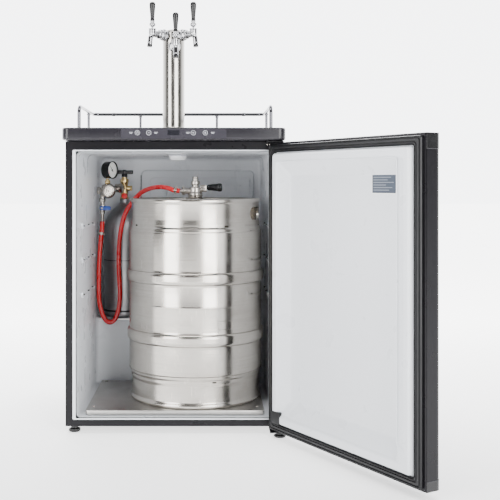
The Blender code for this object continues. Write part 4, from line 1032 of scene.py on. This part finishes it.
def tap(side, bearing, height, axis):
    turn = Matrix.Rotation(math.radians(bearing), 3, "Z")
    out, across = turn @ Vector((0, -1, 0)), turn @ Vector((1, 0, 0))
    centre = axis + Vector((0, 0, height))

    def at(reach, rise=0.0, sideways=0.0):
        return centre + out * reach + across * sideways + Vector((0, 0, rise))

    face = COLUMN_RADIUS + 0.0003
    nut = lathe(
        ((0, 0.022), (0.012, 0.022), (0.0145, 0.0205), (0.015, 0.019), (0.015, 0.011), (0.0172, 0.0095),
         (0.0175, 0.008), (0.0175, 0.0045), (0.016, 0.0025), (0, 0.0025)),
        64, 0.0006,
    )
    notches = [
        spun(rod((0.016, 0, 0.0112), (0.016, 0, 0.0215), 0.0021, 16, 0), math.tau * n / 8)
        for n in range(8)
    ]
    piece(f"shank_nut_{side}", moved(carved(nut, notches), aimed(at(face), out)), "chrome",
          stands_for=(f"shank_{side}",))

    barrel = lathe(
        ((0, 0.06), (0.005, 0.0598), (0.0085, 0.058), (0.0105, 0.0545), (0.011, 0.05), (0.0104, 0.046),
         (0.0104, 0.0345), (0.011, 0.0318), (0.0125, 0.0295), (0.0125, 0.0223), (0, 0.0223)),
        64, 0.0012,
    )
    neck = rod(at(TAP_REACH, -0.004), at(TAP_REACH, 0.014), 0.0105, 48, 0.0012)
    ring = rod(at(TAP_REACH, 0.0108), at(TAP_REACH, 0.0136), 0.0112, 48, 0.0006)
    line = rounded_path((at(0.078, -0.002), at(0.09, -0.01), at(0.0935, -0.034)), 0.01, 10)
    spout = solid_tube(line, 0.007, 8)
    lip = rod(at(0.0924, -0.0262), at(0.0927, -0.029), 0.0076, 40, 0.0006)
    body = merged([moved(barrel, aimed(at(face), out)), neck, ring, spout, lip])
    piece(f"faucet_{side}", body, "chrome", stands_for=(f"tap_body_{side}",))
    tip = rod(at(0.0931, -0.0325), at(0.0938, -0.04), 0.0074, 40, 0.001)
    piece(f"spout_tip_{side}", tip, "black_plastic")

    on = pivot(f"tap_{side}_lever")
    collar = lathe(
        ((0, 0.0222), (0.0058, 0.0222), (0.0068, 0.0208), (0.007, 0.019), (0.0062, 0.018), (0.0062, 0.0172),
         (0.0082, 0.015), (0.009, 0.013), (0.0092, 0.01), (0.0086, 0.0084), (0.006, 0.0058), (0, 0.0004)),
        48, 0.0006,
    )
    piece(f"lever_collar_{side}", shifted(collar, on), "chrome", f"tap_{side}",
          (f"tap_lever_{side}",))
    handle = lathe(
        ((0, 0.0765), (0.004, 0.0761), (0.007, 0.0746), (0.0085, 0.0718), (0.0089, 0.068), (0.0086, 0.061),
         (0.0078, 0.052), (0.0068, 0.042), (0.0062, 0.034), (0.0059, 0.029), (0.0062, 0.0262),
         (0.0066, 0.025), (0.0066, 0.0226), (0, 0.0226)),
        48, 0.001,
    )
    piece(f"lever_handle_{side}", shifted(handle, on), "black_plastic", f"tap_{side}",
          (f"tap_handle_{side}",))


# ---------------------------------------------------------------- keg and coupler
KEG_RADIUS = 0.204
KEG_HEIGHT = 0.592
RIBS = (0.365, 0.192)  # heights of the rolling ribs' middles
HAND_HOLES = (-20.6, 159.4)  # bearings, in degrees


def keg():
    wall = KEG_RADIUS - 0.006
    seam = 0.0008

    def rib(middle):
        crown = [(wall, middle + 0.027)]
        for angle in range(0, 181, 20):
            share = math.radians(angle)
            crown.append((wall + 0.006 * min(1.0, 1.25 * math.sin(share)), middle + 0.0175 * math.cos(share)))
        return (*crown, (wall, middle - 0.027))

    outer = (
        (0.0245, 0.569), (0.029, 0.569), (0.029, 0.5535), (0.06, 0.551),
        (0.12, 0.5425), (0.162, 0.529), (0.1765, 0.519), (0.185, 0.5175), (0.185, 0.583),
        (0.1858, 0.5885), (0.1888, KEG_HEIGHT), (0.1925, 0.5908), (0.1945, 0.587), (0.1945, 0.581),
        (0.1915, 0.577), (0.1905, 0.53), (0.1925, 0.518), (0.1925, 0.5105), (wall - 0.0022, 0.505),
        (wall - 0.0022, 0.501), (wall, 0.494), *rib(RIBS[0]),
        (wall, 0.2875), (wall + seam, 0.286), (wall + seam, 0.284), (wall, 0.2825),
        *rib(RIBS[1]), (wall, 0.093), (wall - 0.0022, 0.087), (wall - 0.0022, 0.083), (0.1925, 0.078),
        (0.1925, 0.07), (0.1905, 0.062), (0.1905, 0.016), (0.194, 0.01), (0.194, 0.004),
        (0.1915, 0.0), (0.1875, 0.0), (0.1862, 0.003), (0.1855, 0.068), (0.178, 0.0665), (0.12, 0.042),
        (0, 0.0305),
    )
    inside = ((0, 0.034), (0.15, 0.056), (0.193, 0.1), (0.193, 0.485), (0.177, 0.513), (0.0245, 0.5495))
    shell = lathe((*inside, *outer), 128, 0.0022, 2, sharp=32)
    tools = []
    for turn in HAND_HOLES:
        hole = slab(outline(-0.04, 0.04, 0.529, 0.567, 0.0185, 8), 0.172, 0.205, "X")
        tools.append(spun(hole, math.radians(turn)))
    for first, height in ((28.0, 0.5135), (17.0, 0.0745)):
        for quarter in range(4):
            hole = outline(-0.0065, 0.0065, height - 0.0022, height + 0.0022, 0.002, 4)
            slot = slab(hole, 0.17, 0.205, "X")
            tools.append(spun(slot, math.radians(first - 90 + quarter * 90)))
    place = Matrix.Translation(foot_of("keg"))
    mesh = carved(shell, tools, 32)
    piece("keg_shell", mesh, "keg_steel", stands_for=("keg",), place=CABINET @ place)
    plates = []
    for turn, height, width, tall in ((-96, 0.44, 0.03, 0.02), (-64, 0.235, 0.022, 0.012)):
        plate = curved_plate(wall + 0.0002, turn, height, width, tall, 0.0006)
        plates.append(plate)
    piece("keg_pressed_panels", merged(plates), "keg_steel", place=CABINET @ place)
    rims = [lathe(((r + 0.001, z), (r + 0.0004, z + 0.0009), (r - 0.001, z), (r + 0.0004, z - 0.0009),
                   (r + 0.001, z)), 128) for r, z in ((wall - 0.0004, 0.4965), (wall - 0.0004, 0.0905))]
    piece("keg_weld_beads", merged(rims), "keg_steel", place=CABINET @ place)


def curved_plate(radius, bearing, height, half_width, half_tall, proud):
    """A thin bead round a rectangle on a round wall."""
    steps = 12
    rails = []
    for edge in (height - half_tall, height + half_tall):
        line = []
        for step in range(steps + 1):
            angle = math.radians(bearing) + (step / steps - 0.5) * 2 * half_width / radius
            line.append(Vector((radius * math.cos(angle), radius * math.sin(angle), edge)))
        rails.append(line)
    loop = rails[0] + list(reversed(rails[1]))
    path = [*loop, loop[0]]
    return solid_tube(path, proud, 2)


def coupler():
    base = foot_of("keg") + Vector((0, 0, 0.5763))
    port_z = 0.0369
    lever_x, lever_z = 0.027, 0.047

    def at(x, y, z):
        return base + Vector((x, y, z))

    sleeve = lathe(
        ((0.0112, 0.048), (0.017, 0.048), (0.0188, 0.0462), (0.019, 0.044), (0.019, 0.033), (0.0215, 0.031),
         (0.0225, 0.028), (0.0225, 0.0225), (0.0205, 0.0205), (0.0205, 0.0185), (0.025, 0.016),
         (0.029, 0.0135), (0.031, 0.011),
         (0.031, 0.003), (0.0295, 0.0003), (0.0112, 0.0003), (0.0112, 0.048)),
        72, 0.0008,
    )
    grips = [
        spun(rod((0.0315, 0, 0.001), (0.0315, 0, 0.015), 0.0028, 12, 0), math.tau * n / 10)
        for n in range(10)
    ]
    ears = [
        block(at(0.015, -0.01, 0.034), at(0.034, -0.0058, 0.054), 0.0014),
        block(at(0.015, 0.0058, 0.034), at(0.034, 0.01, 0.054), 0.0014),
        block(at(0.015, -0.008, 0.034), at(0.0335, 0.008, 0.039), 0.001),
    ]
    port = rod(at(-0.015, 0, port_z), at(-0.03, 0, port_z), 0.009, 40)
    ring = rod(at(-0.027, 0, port_z), at(-0.03, 0, port_z), 0.0102, 40)
    pins = [
        rod(at(lever_x, s * 0.0098, lever_z), at(lever_x, s * 0.0112, lever_z), 0.0034, 24, 0.0004)
        for s in (-1, 1)
    ]
    body = merged([shifted(carved(sleeve, grips), base), *ears, port, ring, *pins])
    piece("coupler_housing", body, "nickel", stands_for=("coupler_body",))
    probe = lathe(
        ((0, 0.0799), (0.007, 0.0799), (0.0085, 0.079), (0.0087, 0.076), (0.008, 0.0745), (0.009, 0.072),
         (0.009, 0.0672), (0.013, 0.0655), (0.013, 0.0562), (0.01, 0.055), (0.01, 0.004), (0, 0.004)),
        56, 0.0008,
    )
    piece("probe_and_beer_port", shifted(probe, base), "nickel", "coupler_probe",
          ("coupler_probe",))
    hinge = at(lever_x, 0, lever_z)
    grip = lathe(
        ((0, 0.054), (0.007, 0.054), (0.011, 0.0528), (0.0124, 0.049), (0.0125, 0.043), (0.0112, 0.04),
         (0.0106, 0.033), (0.0096, 0.024), (0.0088, 0.016), (0.0084, 0.011), (0.0062, 0.0088), (0.005, 0.008),
         (0.005, 0), (0, 0)),
        48, 0.001,
    )
    aside = Vector((0, 0.005, 0))
    lever = [moved(grip, aimed(hinge, (1, 0, 0))), rod(hinge - aside, hinge + aside, 0.0062, 40)]
    piece("coupler_grip", merged(lever), "black_plastic", "coupler_lever", ("coupler_lever",))
    inlet = lathe(
        ((0, 0.016), (0.0042, 0.016), (0.005, 0.015), (0.005, 0.0118), (0.0105, 0.0112), (0.0113, 0.01),
         (0.0115, 0.0085), (0.0115, 0.0018), (0.01, 0.0003), (0, 0.0003)),
        48, 0.0006,
    )
    wings = [
        block((-0.0024, s * 0.01 - 0.003, 0.002), (0.0024, s * 0.01 + 0.003, 0.009), 0.001) for s in (-1, 1)
    ]
    place = aimed(at(-0.03, 0, port_z), (-1, 0, 0))
    piece("gas_inlet_nut", merged([moved(inlet, place), *[moved(wing, place) for wing in wings]]), "nickel",
          stands_for=("gas_inlet",))


# ---------------------------------------------------------------- gas bottle, valve and regulator
BOTTLE_RADIUS = 0.0665
NECK_HEIGHT = 0.386
OUTLET_Z, RELIEF_Z = 0.68, 0.655
REGULATOR = Vector((-0.233, 0.423, 0.672))
BONNET_AIM = Vector((0.26, -0.966, 0))
GAUGE = Vector((-0.2266, 0.42, 0.7393))
GAUGE_AIM = Vector((0.866, -0.5, 0))
GAUGE_DEPTH = 0.03
TAIL = Vector((-0.25, 0.423, 0.574))


def bottle():
    centre = foot_of("gas_bottle")
    shell = lathe(
        ((0, 0.016), (0.0605, 0.018), (0.0605, 0.275), (0.051, 0.321), (0.012, 0.36), (0.0115, 0.386),
         (0.0145, 0.386), (0.015, 0.374), (0.018, 0.368), (0.029, 0.36), (0.04, 0.35),
         (0.05, 0.3375), (0.057, 0.325), (0.0615, 0.312), (0.0645, 0.298), (0.066, 0.285),
         (BOTTLE_RADIUS, 0.27), (BOTTLE_RADIUS, 0.012), (0.064, 0.003), (0.06, 0), (0.05, 0.002),
         (0, 0.009)),
        96, 0.003, 3,
    )
    piece("aluminium_bottle", shifted(shell, centre), "bottle_aluminium",
          stands_for=("gas_bottle",))
    bands = [
        lathe(hoop(BOTTLE_RADIUS + 0.0004, BOTTLE_RADIUS - 0.0004, z + t, z - t), 96)
        for z, t in ((0.185, 0.0008), (0.02, 0.003))
    ]
    piece("bottle_bands", shifted(merged(bands), centre), "black_rubber")

    neck = centre + Vector((0, 0, NECK_HEIGHT))
    outlet = Vector((centre.x, centre.y, OUTLET_Z))
    towards = (REGULATOR - outlet).xy.to_3d().normalized()
    valve = lathe(
        ((0, 0.072), (0.0085, 0.072), (0.0095, 0.0705), (0.0095, 0.066), (0.013, 0.065), (0.014, 0.0635),
         (0.014, 0.056), (0.0125, 0.05), (0.0112, 0.043), (0.0122, 0.04), (0.0122, 0.012),
         (0.012, 0.005), (0.0145, 0.0038), (0.0145, 0.0003), (0.0107, 0.0003), (0.0107, -0.015), (0, -0.015)),
        64, 0.0008,
    )
    relief = Vector((neck.x + 0.003, neck.y, RELIEF_Z))
    packing = rod(neck + Vector((0, 0, 0.056)), neck + Vector((0, 0, 0.064)), 0.0145, 6, 0.0006)
    parts = [
        shifted(valve, neck), packing,
        rod(outlet, outlet + Vector((0.026, 0, 0)), 0.0085, 40),
        rod(outlet + Vector((0.02, 0, 0)), outlet + Vector((0.0262, 0, 0)), 0.0098, 6),
        rod(outlet, outlet + towards * 0.02, 0.0095, 40),
        rod(relief, relief + Vector((0, -0.015, 0)), 0.005, 32),
    ]
    piece("brass_valve", merged(parts), "brass", stands_for=("bottle_valve",))
    cap = [rod(relief + Vector((0, -0.0153, 0)), relief + Vector((0, -0.031, 0)), 0.0092, 40, 0.0014)]
    for step in range(16):
        angle = math.tau * step / 16
        rib = relief + Vector((0.0091 * math.cos(angle), 0, 0.0091 * math.sin(angle)))
        cap.append(rod(rib + Vector((0, -0.0165, 0)), rib + Vector((0, -0.0285, 0)), 0.0007, 8, 0.0002))
    piece("red_relief_cap", merged(cap), "red_plastic", stands_for=("relief_cap",))
    on = pivot("valve_handle_turn")
    top = Vector((on.x, on.y, node_box("valve_handle")[0].z))
    stem = lathe(((0, 0.0105), (0.0088, 0.0105), (0.0098, 0.002), (0.0098, 0), (0, 0)), 48, 0.0008)
    wing_line = [(-0.03, 0.0), (-0.0275, 0.0052), (-0.02, 0.0065), (-0.008, 0.0052), (0.008, 0.0052),
                 (0.02, 0.0065), (0.0275, 0.0052), (0.03, 0.0), (0.0275, -0.0052), (0.02, -0.0065),
                 (0.008, -0.0052), (-0.008, -0.0052), (-0.02, -0.0065), (-0.0275, -0.0052)]
    closed = [*wing_line, wing_line[0]]
    wing = slab([tuple(point) for point in eased(closed, 0.004, 3)[:-1]], 0.0095, 0.0225, "Z", 0.0022, 3)
    hub = lathe(((0, 0.024), (0.0045, 0.0238), (0.0062, 0.0225), (0.0062, 0.01), (0, 0.01)), 40, 0.0006)
    piece("valve_wing_handle", shifted(merged([stem, wing, hub]), top), "black_plastic",
          "valve_handle", ("valve_handle",))
    return outlet, towards


def regulator(outlet, towards):
    nut = outlet + towards * 0.0203
    bonnet = lathe(
        ((0, 0.03), (0.0088, 0.03), (0.0096, 0.027), (0.0128, 0.027), (0.0136, 0.0298),
         (0.018, 0.0288), (0.0208, 0.0265), (0.0218, 0.023), (0.022, 0.0125),
         (0.0245, 0.0105), (0.0245, -0.005), (0.0236, -0.0075), (0.022, -0.015), (0, -0.016)),
        72, 0.001,
    )
    flutes = [
        spun(rod((0.0228, 0, 0.0128), (0.0228, 0, 0.029), 0.0018, 12, 0), math.tau * n / 14)
        for n in range(14)
    ]
    x, y, z = REGULATOR
    aim = BONNET_AIM.normalized()
    parts = [
        moved(carved(bonnet, flutes), aimed(REGULATOR, BONNET_AIM)),
        rod(nut, nut + towards * 0.02, 0.0155, 6, 0.0012),
        rod(nut + towards * 0.0005, nut + towards * 0.0026, 0.016, 48, 0.0006),
        rod(nut + towards * 0.019, outlet + towards * 0.085, 0.0075, 40),
        rod(REGULATOR - aim * 0.014, REGULATOR - aim * 0.034, 0.0205, 48, 0.003),
        rod((x, y, z), (x - 0.028, y, z), 0.0095, 40),
        rod((x - 0.019, y, z), (x - 0.0225, y, z), 0.012, 40),
        rod((x - 0.024, y, z), (x - 0.0335, y, z), 0.013, 6, 0.001),
    ]
    for upper, lower, *form in (
        (z + 0.0023, 0.6, 0.007, 40), (0.648, 0.637, 0.0105, 6, 0.001),
        (0.6285, 0.605, 0.01, 48, 0.002), (0.605, 0.598, 0.0084, 6, 0.0008),
    ):
        parts.append(rod((TAIL.x, y, upper), (TAIL.x, y, lower), *form))
    barb = lathe(
        ((0, 0.0), (0.0048, 0.0), (0.0048, 0.006), (0.0058, 0.0062), (0.0046, 0.012), (0.0058, 0.0122),
         (0.0045, 0.018), (0.0056, 0.0182), (0.004, 0.024), (0, 0.024)), 40,
    )
    parts.append(moved(barb, aimed((TAIL.x, y, 0.5985), (0, 0, -1))))
    stem = GAUGE - GAUGE_AIM * 0.008
    adapter = [
        rod((stem.x, stem.y, z), (stem.x, stem.y, 0.7105), 0.006, 40),
        rod((stem.x, stem.y, 0.6945), (stem.x, stem.y, 0.706), 0.0086, 6, 0.0008),
    ]
    piece("gauge_adapter", merged(adapter), "brass")
    piece("regulator_body", merged(parts), "nickel", stands_for=("regulator",))

    face = REGULATOR + BONNET_AIM * 0.0303
    screw = lathe(
        ((0, 0.016), (0.0048, 0.016), (0.006, 0.015), (0.006, 0.004), (0.0078, 0.0036), (0.0078, 0), (0, 0)),
        6, 0.0006, 2,
    )
    lock = lathe(
        ((0.0061, 0.006), (0.0088, 0.006), (0.009, 0.005), (0.009, 0.0006), (0.0061, 0.0002),
         (0.0061, 0.006)),
        6,
    )
    slot = block((-0.0055, -0.0006, 0.0148), (0.0055, 0.0006, 0.02))
    piece("adjusting_screw", moved(merged([carved(screw, [slot]), lock]), aimed(face, BONNET_AIM)), "nickel",
          "pressure_screw", ("pressure_screw",))
    shutoff()


def shutoff():
    on = pivot("shutoff_lever_turn")
    front = REGULATOR.y - 0.0103
    line = outline(TAIL.x - 0.007, TAIL.x + 0.029, 0.6098, 0.6228, 0.006, 8)
    wing = slab(line, front - 0.008, front - 0.0025, "Y", 0.0018, 3)
    hub = rod((TAIL.x, front - 0.0095, on.z), (TAIL.x, front, on.z), 0.0062, 40, 0.001)
    piece("blue_shutoff_handle", merged([wing, hub]), "blue_plastic", "shutoff_lever", ("shutoff_lever",))
    nut = rod((TAIL.x, front - 0.0112, on.z), (TAIL.x, front - 0.0094, on.z), 0.0036, 6, 0.0003)
    piece("shutoff_nut", nut, "nickel", "shutoff_lever")


def gauge():
    back = GAUGE - GAUGE_AIM * (GAUGE_DEPTH / 2)
    place = aimed(back, GAUGE_AIM)
    case = lathe(
        ((0, 0.0243), (0.0255, 0.0243), (0.0255, 0.029), (0.0262, GAUGE_DEPTH), (0.028, GAUGE_DEPTH),
         (0.0285, 0.029), (0.0285, 0.025), (0.0276, 0.0242), (0.0276, 0.003), (0.0262, 0.0008),
         (0.024, 0), (0, 0)),
        96, 0.0005,
    )
    piece("gauge_housing", moved(case, place), "black_plastic", stands_for=("gauge_case",))
    dial = lathe(((0, 0.0247), (0.0252, 0.0247), (0.0252, 0.0242), (0, 0.0242)), 96)
    piece("gauge_dial", moved(dial, place), "dial")

    across = GAUGE_AIM.cross(Vector((0, 0, 1))).normalized()
    upright = Matrix((across, Vector((0, 0, 1)), across.cross(Vector((0, 0, 1))))).transposed().to_4x4()
    flat = Matrix.Translation(back + GAUGE_AIM * 0.0247) @ upright
    ticks = []
    for step in range(31):
        turn = Matrix.Rotation(math.radians(135 - step * 9), 4, "Z")
        long = step % 5 == 0
        tick = block((-0.0004 if long else -0.0002, 0.0185 if long else 0.0205, -0.0002),
                     (0.0004 if long else 0.0002, 0.0228, 0.0002), 0)
        ticks.append(moved(tick, flat @ turn))
    piece("gauge_scale", merged(ticks), "ink")
    arc = []
    for step in range(9):
        turn = Matrix.Rotation(math.radians(-95 - step * 5), 4, "Z")
        arc.append(moved(block((-0.0009, 0.016, -0.0002), (0.0009, 0.0176, 0.0002), 0), flat @ turn))
    piece("gauge_red_arc", merged(arc), "red_plastic")

    spot = back + GAUGE_AIM * 0.0248
    aim = (Vector((0, 0, 1)) + across * 0.8).normalized()
    start, tip = spot + GAUGE_AIM * 0.001 - aim * 0.0075, spot + GAUGE_AIM * 0.001 + aim * 0.02
    boss = rod(spot, spot + GAUGE_AIM * 0.0022, 0.003, 40, 0.0004)
    needle = [rod(start, tip, 0.001, 12, 0.0001, 0.00025), boss]
    piece("gauge_pointer", merged(needle), "ink", "gauge_needle", ("gauge_needle",))


def main():
    FINISH.update(finishes())
    camera()
    studio()
    gas_hose()
    cad_nodes()
    liner()
    evaporator()
    floor_plate()
    feet()
    worktop()
    guardrail()
    fixings()
    door()
    tower()
    keg()
    coupler()
    regulator(*bottle())
    gauge()


main()
